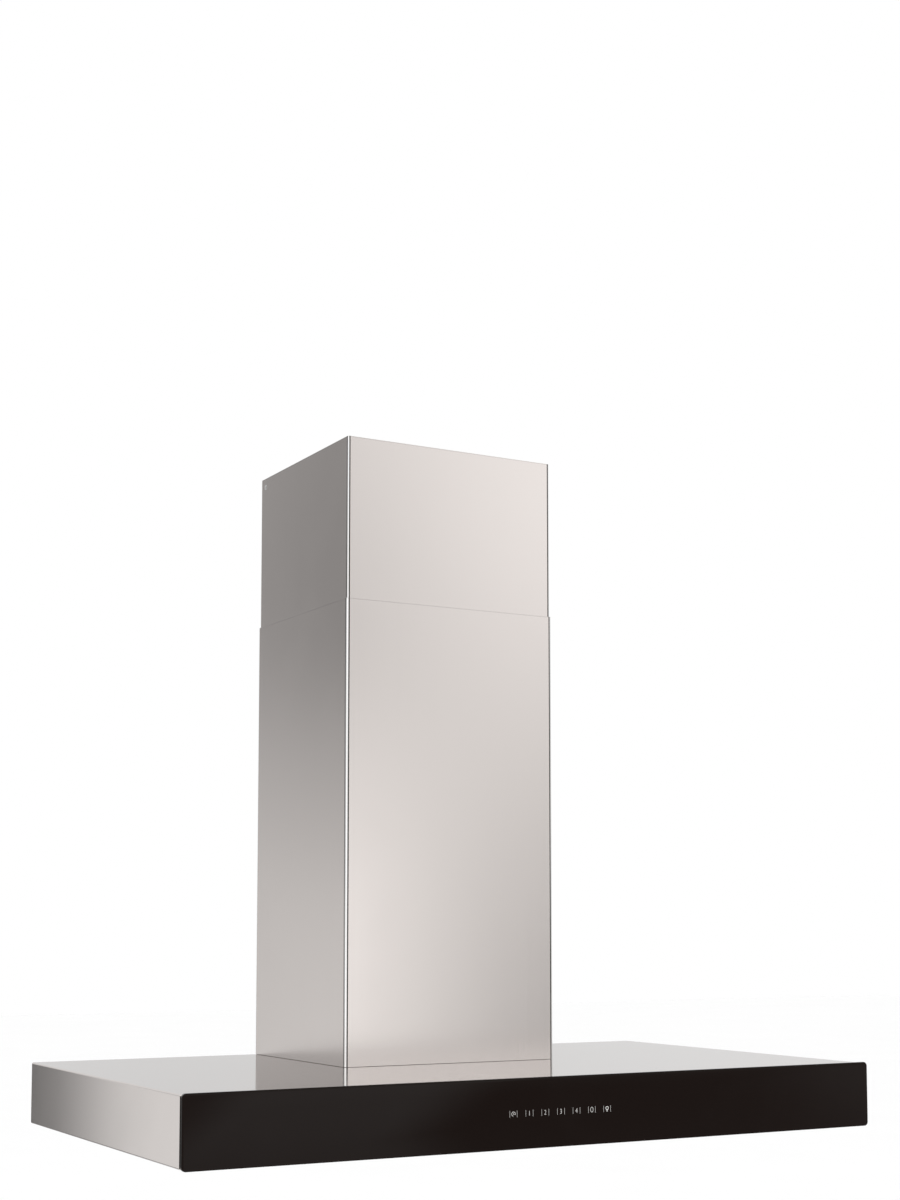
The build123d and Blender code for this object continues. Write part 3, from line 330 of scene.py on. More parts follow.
def turned(name, profile, centre, axis="Z", steps=ROUND):
    """Closed profile of (radius, along) pairs turned round an axis through a point."""
    verts, faces = [], []
    n = len(profile)
    for k in range(steps):
        a = 2 * math.pi * k / steps
        for radius, along in profile:
            u, v = radius * math.cos(a), radius * math.sin(a)
            verts.append({"Z": (u, v, along), "X": (along, u, v), "Y": (v, along, u)}[axis])
    for k in range(steps):
        for i in range(n):
            j = (i + 1) % n
            a, b = k * n, ((k + 1) % steps) * n
            faces.append((a + i, b + i, b + j, a + j))
    obj = new_piece(name, [Vector(v) + Vector(centre) for v in verts], faces)
    return outward(obj)


def slab_xz(name, outline, front, back, edge, steps=4):
    """Upright plate from an outline in X and Z, with its front edge rounded."""
    turns = np.linspace(0, math.pi / 2, steps + 1)
    rings = [(edge * (1 - math.sin(a)), edge * (1 - math.cos(a))) for a in turns]
    loops = [(offset(outline, inset, True), front + depth) for inset, depth in rings]
    loops.append((outline, back - edge / 2))
    loops.append((offset(outline, edge / 2, True), back))
    n = len(outline)
    verts = [(p.x, y, p.y) for line, y in loops for p in line]
    faces = [tuple(range(n)), tuple(range(len(verts) - 1, len(verts) - n - 1, -1))]
    for r in range(len(loops) - 1):
        for i in range(n):
            j = (i + 1) % n
            faces.append((r * n + i, r * n + j, (r + 1) * n + j, (r + 1) * n + i))
    return outward(new_piece(name, verts, faces))


# --- node building ---------------------------------------------------------------------------
def put(tree, kind, inputs=None, **settings):
    """Add a node, set its properties, and link or set its inputs by name or number."""
    node = tree.nodes.new(kind)
    for key, value in settings.items():
        setattr(node, key, value)
    for key, value in (inputs or {}).items():
        if isinstance(value, bpy.types.NodeSocket):
            tree.links.new(value, node.inputs[key])
        else:
            node.inputs[key].default_value = value
    return node


def new_group(name, kind, inputs, outputs):
    """Node tree with (name, kind) sockets, what it is given and what it puts out."""
    tree = bpy.data.node_groups.new(name, kind)
    for side, sockets in (("INPUT", inputs), ("OUTPUT", outputs)):
        for label, sort in sockets:
            tree.interface.new_socket(name=label, in_out=side, socket_type="NodeSocket" + sort)
    return tree, tree.nodes.new("NodeGroupInput").outputs, tree.nodes.new("NodeGroupOutput").inputs


def math_node(tree, operation, a, b=0.0, c=None):
    inputs = {0: a, 1: b}
    if c is not None:
        inputs[2] = c
    return put(tree, "ShaderNodeMath", inputs, operation=operation).outputs[0]


def span_node(tree, value, start, end, low=0.0, high=1.0, **settings):
    """The value's way from start to end, as a number from low to high."""
    inputs = {0: value, 1: start, 2: end, 3: low, 4: high}
    return put(tree, "ShaderNodeMapRange", inputs, **settings).outputs[0]


def mix_node(tree, mask, first, second):
    """Two colours mixed by a mask."""
    return put(tree, "ShaderNodeMix", {0: mask, 6: first, 7: second}, data_type="RGBA").outputs[2]


def noise_node(tree, vector, **inputs):
    return put(tree, "ShaderNodeTexNoise", {"Vector": vector, **inputs}).outputs[0]


def grown(name, tree, values, base=None):
    """Run a geometry tree with its inputs set and keep the result as a plain mesh piece."""
    obj = linked(bpy.data.objects.new(name, base or bpy.data.meshes.new(name)))
    modifier = obj.modifiers.new("grown", "NODES")
    modifier.node_group = tree
    for item in tree.interface.items_tree:
        if item.item_type == "SOCKET" and item.in_out == "INPUT" and item.name in values:
            modifier[item.identifier] = values[item.name]
    return settle(obj)


# --- shared effects --------------------------------------------------------------------------
@cache
def brush_lines():
    """Fine brush lines, drawn out where `Across` is small."""
    tree, given, out = new_group(
        "brush_lines",
        "ShaderNodeTree",
        [("Vector", "Vector"), ("Across", "Vector"), ("Contrast", "Float")],
        [("Grain", "Float")],
    )
    calc = partial(math_node, tree)
    inputs = {0: given["Vector"], 1: given["Across"]}
    stretched = put(tree, "ShaderNodeVectorMath", inputs, operation="MULTIPLY").outputs[0]
    fine = noise_node(tree, stretched, Scale=1.0, Detail=4.0)
    coarse = noise_node(tree, stretched, Scale=0.13, Detail=2.0)
    both = calc("MULTIPLY_ADD", coarse, 0.45, calc("MULTIPLY", fine, 0.55))
    centred = calc("SUBTRACT", both, 0.5)
    tree.links.new(calc("MULTIPLY_ADD", centred, given["Contrast"], 0.5), out["Grain"])
    return tree


@cache
def wipe_marks():
    """Faint wipe marks and finger smudges."""
    sockets = [("Vector", "Vector"), ("Size", "Float")]
    tree, given, out = new_group("wipe_marks", "ShaderNodeTree", sockets, [("Mask", "Float")])
    broad = noise_node(tree, given["Vector"], Scale=given["Size"], Detail=5.0, Distortion=0.6)
    tree.links.new(span_node(tree, broad, 0.48, 0.72), out["Mask"])
    return tree


@cache
def settled_dust():
    """Dust that settles on faces that look up."""
    sockets = [("Vector", "Vector"), ("Amount", "Float")]
    tree, given, out = new_group("settled_dust", "ShaderNodeTree", sockets, [("Mask", "Float")])
    calc = partial(math_node, tree)
    normal = put(tree, "ShaderNodeNewGeometry").outputs["Normal"]
    up = put(tree, "ShaderNodeSeparateXYZ", {0: normal}).outputs[2]
    facing = span_node(tree, up, 0.55, 1.0)
    patch = noise_node(tree, given["Vector"], Scale=38.0, Detail=6.0)
    tree.links.new(calc("MULTIPLY", calc("MULTIPLY", facing, patch), given["Amount"]), out["Mask"])
    return tree


@cache
def moulded_texture():
    """Fine moulded texture: a height and a slight tone."""
    tree, given, out = new_group(
        "moulded_texture",
        "ShaderNodeTree",
        [("Vector", "Vector"), ("Size", "Float")],
        [("Height", "Float"), ("Tone", "Float")],
    )
    cells = put(tree, "ShaderNodeTexVoronoi", {"Vector": given["Vector"], "Scale": given["Size"]})
    tree.links.new(cells.outputs[0], out["Height"])
    tree.links.new(noise_node(tree, given["Vector"], Scale=21.0, Detail=4.0), out["Tone"])
    return tree


@cache
def fold_highlight_and_shade():
    """Painted light at the two front folds of a flue cover: a painted highlight along the bend, a painted
    dark reflection line each side of it, and a faint painted shade line just under the cover's top edge.
    """
    tree, given, out = new_group(
        "fold_highlight_and_shade",
        "ShaderNodeTree",
        [("Vector", "Vector")] + [(size, "Float") for size in ("Side", "Front", "Top", "Radius", "Line")],
        [("Bend", "Float"), ("Line", "Float")],
    )
    calc = partial(math_node, tree)
    part = put(tree, "ShaderNodeSeparateXYZ", {0: given["Vector"]}).outputs
    across = calc("SUBTRACT", calc("ABSOLUTE", part[0]), given["Side"])
    back = calc("SUBTRACT", given["Front"], part[1])
    near = calc("ADD", calc("MINIMUM", across, back), given["Radius"])
    along = calc("DIVIDE", near, given["Line"])
    # Painted highlight: a narrow band along the bend.
    bend_highlight = span_node(tree, along, 0.3, 0.5)
    away = calc("ABSOLUTE", calc("ADD", along, 0.25))
    # Painted dark reflection: a fine line each side of the bend.
    line = span_node(tree, away, 0.6, 0.42)
    under = calc("DIVIDE", calc("SUBTRACT", given["Top"], part[2]), given["Line"])
    # Painted shade: a faint dark line just under the cover's top edge.
    rim = span_node(tree, under, 1.1, 0.7, 0.0, 0.16)
    tree.links.new(bend_highlight, out["Bend"])
    tree.links.new(calc("MAXIMUM", line, rim), out["Line"])
    return tree


# --- finishes --------------------------------------------------------------------------------
class Coat:
    """One material: its tree, its shader and its Object coordinates."""

    def __init__(self, name, **constants):
        self.material = bpy.data.materials.new(name)
        self.material.use_nodes = True
        self.tree = self.material.node_tree
        self.shader = self.tree.nodes["Principled BSDF"]
        self.place = put(self.tree, "ShaderNodeTexCoord").outputs["Object"]
        self.blend = partial(mix_node, self.tree)
        for key, value in constants.items():
            self.shader.inputs[key.replace("_", " ")].default_value = value

    def effect(self, maker, **inputs):
        """Outputs of a shared effect with its own values, on the piece's own coordinates."""
        inputs["Vector"] = self.place
        return put(self.tree, "ShaderNodeGroup", inputs, node_tree=maker()).outputs

    def feed(self, socket, value):
        self.tree.links.new(value, self.shader.inputs[socket])

    def spread(self, value, low, high):
        """A 0 to 1 value spread between two numbers."""
        return span_node(self.tree, value, 0.0, 1.0, low, high)

    def bump(self, height, strength, distance):
        inputs = {"Height": height, "Strength": strength, "Distance": distance}
        self.feed("Normal", put(self.tree, "ShaderNodeBump", inputs).outputs[0])


def rgb(*values):
    """A colour with its alpha, from three numbers or from one for a grey."""
    return (*values, 1.0) if len(values) == 3 else (values[0], values[0], values[0], 1.0)


def scaled(colour, share):
    """A colour made brighter or darker."""
    return rgb(*[min(1.0, c * share) for c in colour])


def steel(name, across, rough, contrast, lift, fold_light_sizes=None):
    """Brushed steel whose lines run where `across` is small, with a painted highlight and painted dark lines
    at its folds where it has them.
    """
    colour = tuple(bpy.context.scene.hood_finish.steel_colour)
    coat = Coat(name, Metallic=1.0)
    grain = coat.effect(brush_lines, Across=across, Contrast=contrast)["Grain"]
    wipe = coat.effect(wipe_marks, Size=9.0)["Mask"]
    shade = coat.blend(grain, scaled(colour, 1 - lift), scaled(colour, 1 + lift))
    if fold_light_sizes:
        fold_light = coat.effect(fold_highlight_and_shade, **fold_light_sizes)
        # Painted highlight: the bend's base colour turns near white.
        shade = coat.blend(fold_light["Bend"], shade, rgb(1.0, 0.99, 0.98))
        # Painted shade: near-black base colour in the lines beside the bend and under the top edge.
        shade = coat.blend(fold_light["Line"], shade, rgb(0.03, 0.026, 0.024))
    coat.feed("Base Color", shade)
    smudged = math_node(coat.tree, "ADD", coat.spread(grain, *rough), coat.spread(wipe, 0.0, 0.012))
    coat.feed("Roughness", smudged)
    coat.bump(grain, 0.03, 0.00003)
    return coat.material


def flue_steel(name, node, inner):
    """Upright brushed steel with painted highlights and painted shade lines at the cover's own folds."""
    low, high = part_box(node)
    fold_light_sizes = {"Side": high.x, "Front": low.y, "Top": high.z, "Radius": flue_bend(inner), "Line": 1.4 * MM}
    return steel(name, (2600.0, 2600.0, 7.0), (0.185, 0.245), 1.1, 0.016, fold_light_sizes)


def plastic(name, colour, rough, size=2600.0, strength=0.25):
    """Moulded plastic with a fine texture and a little dust on top."""
    coat = Coat(name)
    cells = coat.effect(moulded_texture, Size=size)
    dust = coat.effect(settled_dust, Amount=0.35)["Mask"]
    tone = coat.blend(cells["Tone"], scaled(colour, 0.86), scaled(colour, 1.1))
    coat.feed("Base Color", coat.blend(dust, tone, rgb(0.42, 0.41, 0.39)))
    coat.feed("Roughness", coat.spread(cells["Tone"], rough - 0.06, rough + 0.08))
    coat.bump(cells["Height"], strength, 0.00006)
    return coat.material


def zinc(name, cell, colour, rough):
    """Hot-dipped zinc: flat crystals of slightly different greys."""
    coat = Coat(name, Metallic=1.0)
    inputs = {"Vector": coat.place, "Scale": cell, "Randomness": 1.0}
    crystal = put(coat.tree, "ShaderNodeTexVoronoi", inputs).outputs["Color"]
    tint = put(coat.tree, "ShaderNodeSeparateColor", {0: crystal}).outputs[0]
    wipe = coat.effect(wipe_marks, Size=24.0)["Mask"]
    dust = coat.effect(settled_dust, Amount=0.3)["Mask"]
    metal = coat.blend(tint, scaled(colour, 0.82), scaled(colour, 1.12))
    dulled = coat.blend(wipe, metal, scaled(colour, 0.9))
    coat.feed("Base Color", coat.blend(dust, dulled, rgb(0.5, 0.49, 0.47)))
    coat.feed("Roughness", coat.spread(tint, rough - 0.08, rough + 0.1))
    coat.bump(tint, 0.12, 0.00008)
    return coat.material


def two_tone(name, constants, effect, inputs, output, colours, rough, relief=None):
    """Finish whose colour and roughness follow one value of a shared effect."""
    coat = Coat(name, **constants)
    given = coat.effect(effect, **inputs)
    coat.feed("Base Color", coat.blend(given[output], *colours))
    coat.feed("Roughness", coat.spread(given[output], *rough))
    if relief:
        coat.bump(given["Height"], *relief)
    return coat.material


def black_glass(name):
    """Polished glass over black, with faint wipe marks."""
    colours = (rgb(*bpy.context.scene.hood_finish.glass_colour), rgb(0.0078, 0.0046, 0.0037))
    constants = {"Specular_IOR_Level": 0.1, "IOR": 1.5}
    return two_tone(name, constants, wipe_marks, {"Size": 7.0}, "Mask", colours, (0.035, 0.075))


def aluminium(name):
    """Drawn aluminium with fine lines and dull patches."""
    coat = Coat(name, Metallic=1.0)
    grain = coat.effect(brush_lines, Across=(1500.0, 60.0, 1500.0), Contrast=1.4)["Grain"]
    wipe = coat.effect(wipe_marks, Size=30.0)["Mask"]
    shade = coat.blend(grain, rgb(0.68, 0.69, 0.70), rgb(0.8, 0.8, 0.81))
    coat.feed("Base Color", coat.blend(wipe, shade, rgb(0.66, 0.66, 0.65)))
    coat.feed("Roughness", coat.spread(grain, 0.27, 0.4))
    coat.bump(grain, 0.08, 0.00005)
    return coat.material


def circuit_board(name):
    """Green lacquer over a pattern of copper traces."""
    coat = Coat(name)
    inputs = {"Vector": coat.place, "Scale": 160.0}
    inputs["Color1"] = rgb(0.012, 0.13, 0.05)
    inputs["Color2"] = rgb(0.016, 0.17, 0.065)
    inputs["Mortar"] = rgb(0.03, 0.24, 0.1)
    coat.feed("Base Color", put(coat.tree, "ShaderNodeTexBrick", inputs).outputs[0])
    tone = coat.effect(moulded_texture, Size=900.0)["Tone"]
    coat.feed("Roughness", coat.spread(tone, 0.28, 0.42))
    return coat.material


METAL = {"Metallic": 1.0}
# Each finish's maker and what it is given after its name.
FINISHES = {
    "lower_flue_steel": (flue_steel, "lower_flue_cover", False),
    "upper_flue_steel": (flue_steel, "upper_flue_cover", True),
    "canopy_steel": (steel, (7.0, 2600.0, 2600.0), (0.07, 0.12), 0.8, 0.012),
    "panel_steel": (steel, (7.0, 2200.0, 2200.0), (0.24, 0.32), 0.9, 0.015),
    "black_steel": (
        two_tone, {}, moulded_texture, {"Size": 1400.0}, "Tone",
        (rgb(0.014), rgb(0.024)), (0.38, 0.5), (0.3, 0.00008),
    ),
    "black_glass": (black_glass,),
    "key_print": (
        two_tone, {"Specular_IOR_Level": 0.3}, moulded_texture, {"Size": 5200.0}, "Tone",
        (rgb(0.5, 0.49, 0.47), rgb(0.66, 0.65, 0.63)), (0.5, 0.62),
    ),
    "galvanised": (zinc, 95.0, (0.56, 0.57, 0.58), 0.38),
    "zinc_screw": (zinc, 900.0, (0.62, 0.62, 0.61), 0.3),
    "bright_screw": (zinc, 1400.0, (0.74, 0.74, 0.73), 0.24),
    "aluminium": (aluminium,),
    "mesh_aluminium": (
        two_tone, METAL, wipe_marks, {"Size": 42.0}, "Mask",
        (rgb(0.74, 0.74, 0.75), rgb(0.62, 0.61, 0.6)), (0.3, 0.42),
    ),
    "spring_steel": (
        two_tone, METAL, wipe_marks, {"Size": 220.0}, "Mask",
        (rgb(0.55, 0.55, 0.56), rgb(0.42, 0.41, 0.4)), (0.2, 0.34),
    ),
    "motor_steel": (
        two_tone, METAL, brush_lines, {"Across": (60.0, 1500.0, 1500.0), "Contrast": 1.5}, "Grain",
        (rgb(0.36, 0.36, 0.37), rgb(0.48, 0.48, 0.48)), (0.34, 0.46),
    ),
    "black_plastic": (plastic, (0.018, 0.018, 0.019), 0.42),
    "grey_plastic": (plastic, (0.23, 0.235, 0.24), 0.46),
    "white_plastic": (plastic, (0.74, 0.73, 0.7), 0.4),
    "rubber": (plastic, (0.022, 0.022, 0.022), 0.62, 3400.0, 0.18),
    "circuit_board": (circuit_board,),
    "lamp_lens": (
        two_tone, {"Specular_IOR_Level": 0.5}, moulded_texture, {"Size": 1500.0}, "Tone",
        (rgb(0.78, 0.79, 0.79), rgb(0.9, 0.9, 0.89)), (0.22, 0.34), (0.35, 0.0002),
    ),
    "capacitor_can": (plastic, (0.62, 0.62, 0.6), 0.34, 2400.0, 0.08),
}


@cache
def material(finish):
    """Each finish is made once, the first time that a piece asks for it."""
    maker, *values = FINISHES[finish]
    return maker(finish, *values)


# --- geometry trees --------------------------------------------------------------------------
def closing(tree, out, geometry, finish):
    """Every tree ends in real meshes with a material."""
    real = put(tree, "GeometryNodeRealizeInstances", {0: geometry})
    coated = put(tree, "GeometryNodeSetMaterial", {"Geometry": real.outputs[0], "Material": finish})
    tree.links.new(coated.outputs[0], out["Geometry"])
    return tree


@cache
def seated_tree():
    """One piece on every point, turned to the point's `way`, with a random twist."""
    tree, given, out = new_group(
        "seated",
        "GeometryNodeTree",
        [("Geometry", "Geometry"), ("Piece", "Object"), ("Finish", "Material"), ("Seed", "Int")],
        [("Geometry", "Geometry")],
    )
    way = put(tree, "GeometryNodeInputNamedAttribute", {"Name": "way"}, data_type="FLOAT_VECTOR")
    turn = put(tree, "FunctionNodeAlignRotationToVector", {"Vector": way.outputs[0]}, axis="Z").outputs[0]
    inputs = {"Min": 0.0, "Max": math.pi, "Seed": given["Seed"]}
    twist = put(tree, "FunctionNodeRandomValue", inputs, data_type="FLOAT")
    about = put(tree, "FunctionNodeAxisAngleToRotation", {"Axis": (0, 0, 1)})
    tree.links.new([s for s in twist.outputs if s.enabled][0], about.inputs["Angle"])
    turns = {"Rotation": turn, "Rotate By": about.outputs[0]}
    spun = put(tree, "FunctionNodeRotateRotation", turns, rotation_space="LOCAL").outputs[0]
    source = put(tree, "GeometryNodeObjectInfo", {"Object": given["Piece"]}).outputs["Geometry"]
    points = put(tree, "GeometryNodeMeshToPoints", {0: given["Geometry"]}).outputs[0]
    inputs = {"Points": points, "Instance": source, "Rotation": spun}
    placed = put(tree, "GeometryNodeInstanceOnPoints", inputs).outputs[0]
    return closing(tree, out, placed, given["Finish"])


@cache
def strand_tree():
    """Expanded metal: short strands on a grid that lean one way and then the other."""
    floats = ("Width", "Depth", "Cell Width", "Cell Depth", "Strand", "Thickness")
    vectors = ("Centre", "Gap Low", "Gap High")
    sockets = [(size, "Float") for size in floats] + [(place, "Vector") for place in vectors]
    tree, given, out = new_group(
        "expanded_metal", "GeometryNodeTree", sockets + [("Finish", "Material")], [("Geometry", "Geometry")]
    )
    calc = partial(math_node, tree)

    def cells(size, cell):
        """How many half cells fit a size, and how long each then is."""
        count = calc("FLOOR", calc("DIVIDE", given[size], calc("DIVIDE", given[cell], 2.0)))
        return count, calc("DIVIDE", given[size], count)

    def split(vector):
        return put(tree, "ShaderNodeSeparateXYZ", {0: vector}).outputs

    count_x, real_x = cells("Width", "Cell Width")
    count_y, real_y = cells("Depth", "Cell Depth")
    inputs = {
        "Size X": calc("SUBTRACT", given["Width"], real_x),
        "Size Y": calc("SUBTRACT", given["Depth"], real_y),
        "Vertices X": count_x,
        "Vertices Y": count_y,
    }
    grid = put(tree, "GeometryNodeMeshGrid", inputs).outputs[0]

    # The lean changes sides from one grid point to the next.
    here = split(put(tree, "GeometryNodeInputPosition").outputs[0])
    row = calc("FLOOR", calc("ADD", calc("DIVIDE", here[0], real_x), 0.25))
    line = calc("FLOOR", calc("ADD", calc("DIVIDE", here[1], real_y), 0.25))
    parity = calc("FLOORED_MODULO", calc("ADD", row, line), 2.0)
    angle = calc("MULTIPLY", calc("ARCTAN2", real_y, real_x), calc("MULTIPLY_ADD", parity, -2.0, 1.0))
    turn = put(tree, "ShaderNodeCombineXYZ", {0: 0.35, 2: angle}).outputs[0]
    inputs = {"Geometry": grid, "Name": "turn", "Value": turn}
    settings = {"data_type": "FLOAT_VECTOR", "domain": "POINT"}
    stored = put(tree, "GeometryNodeStoreNamedAttribute", inputs, **settings).outputs[0]
    inputs = {"Geometry": stored, "Translation": given["Centre"]}
    moved = put(tree, "GeometryNodeTransform", inputs).outputs[0]

    # No strand starts inside the gap for the catch.
    place = split(put(tree, "GeometryNodeInputPosition").outputs[0])
    low, high = split(given["Gap Low"]), split(given["Gap High"])
    within = []
    for axis in (0, 1):
        past_low = calc("GREATER_THAN", place[axis], low[axis])
        within.append(calc("MULTIPLY", past_low, calc("LESS_THAN", place[axis], high[axis])))
    inputs = {"Geometry": moved, "Selection": calc("MULTIPLY", *within)}
    kept = put(tree, "GeometryNodeDeleteGeometry", inputs, domain="POINT").outputs[0]

    squares = calc("ADD", calc("MULTIPLY", real_x, real_x), calc("MULTIPLY", real_y, real_y))
    long = calc("MULTIPLY_ADD", given["Strand"], 0.6, calc("SQRT", squares))
    size = put(tree, "ShaderNodeCombineXYZ", {0: long, 1: given["Strand"], 2: given["Thickness"]})
    strand = put(tree, "GeometryNodeMeshCube", {"Size": size.outputs[0]}).outputs[0]
    named = put(tree, "GeometryNodeInputNamedAttribute", {"Name": "turn"}, data_type="FLOAT_VECTOR")
    rotation = put(tree, "FunctionNodeEulerToRotation", {0: named.outputs[0]}).outputs[0]
    inputs = {"Points": kept, "Instance": strand, "Rotation": rotation}
    placed = put(tree, "GeometryNodeInstanceOnPoints", inputs).outputs[0]
    return closing(tree, out, placed, given["Finish"])


@cache
def wheel_tree():
    """One piece repeated round the X axis."""
    tree, given, out = new_group(
        "round_the_shaft",
        "GeometryNodeTree",
        [("Piece", "Object"), ("Count", "Int"), ("Centre", "Vector"), ("Finish", "Material")],
        [("Geometry", "Geometry")],
    )
    inputs = {"Count": given["Count"], "Position": given["Centre"]}
    points = put(tree, "GeometryNodePoints", inputs).outputs[0]
    index = put(tree, "GeometryNodeInputIndex").outputs[0]
    share = math_node(tree, "DIVIDE", index, given["Count"])
    angle = math_node(tree, "MULTIPLY", share, 2 * math.pi)
    turn = put(tree, "FunctionNodeAxisAngleToRotation", {"Axis": (1, 0, 0), "Angle": angle}).outputs[0]
    source = put(tree, "GeometryNodeObjectInfo", {"Object": given["Piece"]}).outputs["Geometry"]
    inputs = {"Points": points, "Instance": source, "Rotation": turn}
    placed = put(tree, "GeometryNodeInstanceOnPoints", inputs).outputs[0]
    return closing(tree, out, placed, given["Finish"])


@cache
def coil_tree():
    """Coil spring along +Y with closed ends."""
    sockets = [(size, "Float") for size in ("Turns", "Radius", "Wire", "Length")]
    tree, given, out = new_group(
        "coil_spring",
        "GeometryNodeTree",
        sockets + [("Start", "Vector"), ("Finish", "Material")],
        [("Geometry", "Geometry")],
    )
    inputs = {
        "Resolution": 20,
        "Rotations": given["Turns"],
        "Start Radius": given["Radius"],
        "End Radius": given["Radius"],
        "Height": given["Length"],
    }
    spiral = put(tree, "GeometryNodeCurveSpiral", inputs).outputs[0]
    inputs = {"Resolution": 10, "Radius": given["Wire"]}
    section = put(tree, "GeometryNodeCurvePrimitiveCircle", inputs, mode="RADIUS").outputs[0]
    inputs = {"Curve": spiral, "Profile Curve": section, "Fill Caps": True}
    tube = put(tree, "GeometryNodeCurveToMesh", inputs).outputs[0]
    inputs = {"Geometry": tube, "Rotation": (-math.pi / 2, 0, 0), "Translation": given["Start"]}
    laid = put(tree, "GeometryNodeTransform", inputs).outputs[0]
    return closing(tree, out, laid, given["Finish"])


# --- screws ----------------------------------------------------------------------------------
def screw_shape(name, head_r, head_h, shank_r, length):
    """Pan-head screw with a cross recess, head up along +Z and seat at the origin."""
    bends = np.linspace(0.12, math.pi / 2, 5)
    profile = [(head_r * math.sin(a), head_h * (0.55 + 0.45 * math.cos(a))) for a in bends]
    profile += [(head_r, 0.0), (shank_r, 0.0)]
    turns = max(3, int(length / 0.0009))
    for i in range(turns):
        z = -length * (i + 0.5) / turns
        profile += [(shank_r, z), (shank_r * 0.84, z - length * 0.25 / turns)]
    profile += [(shank_r * 0.7, -length)]
    steps = 20
    verts = [(0.0, 0.0, profile[0][1] + head_h * 0.005)]
    for k in range(steps):
        a = 2 * math.pi * k / steps
        verts += [(r * math.cos(a), r * math.sin(a), z) for r, z in profile]
    verts.append((0.0, 0.0, -length))
    n = len(profile)
    faces = []
    for k in range(steps):
        a, b = 1 + k * n, 1 + ((k + 1) % steps) * n
        faces.append((0, a, b))
        faces += [(a + i, a + i + 1, b + i + 1, b + i) for i in range(n - 1)]
        faces.append((a + n - 1, len(verts) - 1, b + n - 1))
    body = outward(new_piece(name, verts, faces))
    arm, slot = head_r * 0.62, head_r * 0.13
    sides = [(i, (i + 1) % 4, 4 + (i + 1) % 4, 4 + i) for i in range(4)]
    cutters = []
    for x, y in ((arm, slot), (slot, arm)):
        corners = [(-x, -y), (x, -y), (x, y), (-x, y)]
        top = [(u, v, head_h * 2) for u, v in corners]
        foot = [(u * 0.62, v * 0.8, head_h * 0.25) for u, v in corners]
        faces = [(0, 1, 2, 3), (4, 5, 6, 7), *sides]
        cutters.append(outward(new_piece(name + "_cut", foot + top, faces)))
    for cutter in cutters:
        cut = body.modifiers.new("recess", "BOOLEAN")
        cut.object = cutter
        cut.operation = "DIFFERENCE"
        cut.solver = "EXACT"
    settle(body)
    for cutter in cutters:
        bpy.data.objects.remove(cutter)
    return smooth(body, 40)


def islands(node):
    """Boxes of a node's separate solids, from its own mesh."""
    bm = node_bmesh(node)
    seen, boxes = set(), []
    for vert in bm.verts:
        if vert in seen:
            continue
        stack, found = [vert], []
        seen.add(vert)
        while stack:
            here = stack.pop()
            found.append(here.co.copy())
            for edge in here.link_edges:
                other = edge.other_vert(here)
                if other not in seen:
                    seen.add(other)
                    stack.append(other)
        boxes.append([Vector([pick(c[i] for c in found) for i in range(3)]) for pick in (min, max)])
    bm.free()
    return boxes


def screw_group(node, name, finish, head, facing, seed):
    """Screws that stand for a node of screws: each is read from its own box."""
    radius, height, shank = (size * MM for size in head)
    places, ways, length = [], [], 0.0
    for low, high in islands(node):
        way = Vector(facing or (-1 if low.x < 0 else 1, 0, 0))
        axis = max(range(3), key=lambda i: abs(way[i]))
        seat = (low + high) / 2
        seat[axis] = high[axis] - height if way[axis] > 0 else low[axis] + height
        length = high[axis] - low[axis] - height
        places.append(tuple(seat))
        ways.extend(way)
    shape = screw_shape(name + "_shape", radius, height, shank, length)
    mesh = bpy.data.meshes.new(name)
    mesh.from_pydata(places, [], [])
    mesh.attributes.new("way", "FLOAT_VECTOR", "POINT").data.foreach_set("vector", ways)
    values = {"Piece": shape, "Finish": material(finish), "Seed": seed}
    obj = grown(name, seated_tree(), values, mesh)
    bpy.data.objects.remove(shape)
    return finished(obj, finish, frame["nodes"][node]["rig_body"], "zinc_screw", node)


# --- pieces: canopy and glass ----------------------------------------------------------------
def make_canopy():
    carried("canopy_shell", "canopy_body", "canopy_steel", "stainless")
    carried("bottom_panel", "underside_panel", "panel_steel", "stainless", 0.35)
    carried("glass_carrier", "carrier_plate", "black_steel", "black_steel", 0.2)


def make_glass():
    low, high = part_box("front_glass")
    corners = [(low.x, low.z), (high.x, low.z), (high.x, high.z), (low.x, high.z)]
    outline = rounded(corners, bpy.context.scene.hood_sizes.glass_corner, 10, closed=True)
    pane = slab_xz("glass_front", outline, low.y + MARK_DEPTH, high.y, 0.6 * MM)
    finished(smooth(pane, 60), "black_glass", "root", "black_glass", "front_glass")


def stroke(points, width, closed=False):
    """Flat line through (x, z) points as a thin mesh on the glass."""
    points = [Vector(p) for p in points]
    left = offset(points, width / 2, closed)
    right = offset(points, -width / 2, closed)
    n = len(points)
    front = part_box("front_glass")[0].y
    levels = (front, front + MARK_DEPTH * 1.5)
    verts = [(p.x, y, p.y) for y in levels for line in (left, right) for p in line]
    faces = []
    for i in range(n if closed else n - 1):
        j = (i + 1) % n
        faces += [
            (i, j, n + j, n + i),
            (2 * n + i, 3 * n + i, 3 * n + j, 2 * n + j),
            (i, 2 * n + i, 2 * n + j, j),
            (n + i, n + j, 3 * n + j, 3 * n + i),
        ]
    if not closed:
        faces += [(0, n, 3 * n, 2 * n), (n - 1, 3 * n - 1, 4 * n - 1, 2 * n - 1)]
    return outward(new_piece("stroke", verts, faces))


def arc(x, z, radius, start, end, steps=24):
    """Points on an arc about (x, z), from one angle to another in degrees."""
    angles = [math.radians(start + (end - start) * k / steps) for k in range(steps + 1)]
    return [Vector((x + radius * math.cos(a), z + radius * math.sin(a))) for a in angles]


def ring(x, z, radius):
    return arc(x, z, radius, 0, 360)[:-1]


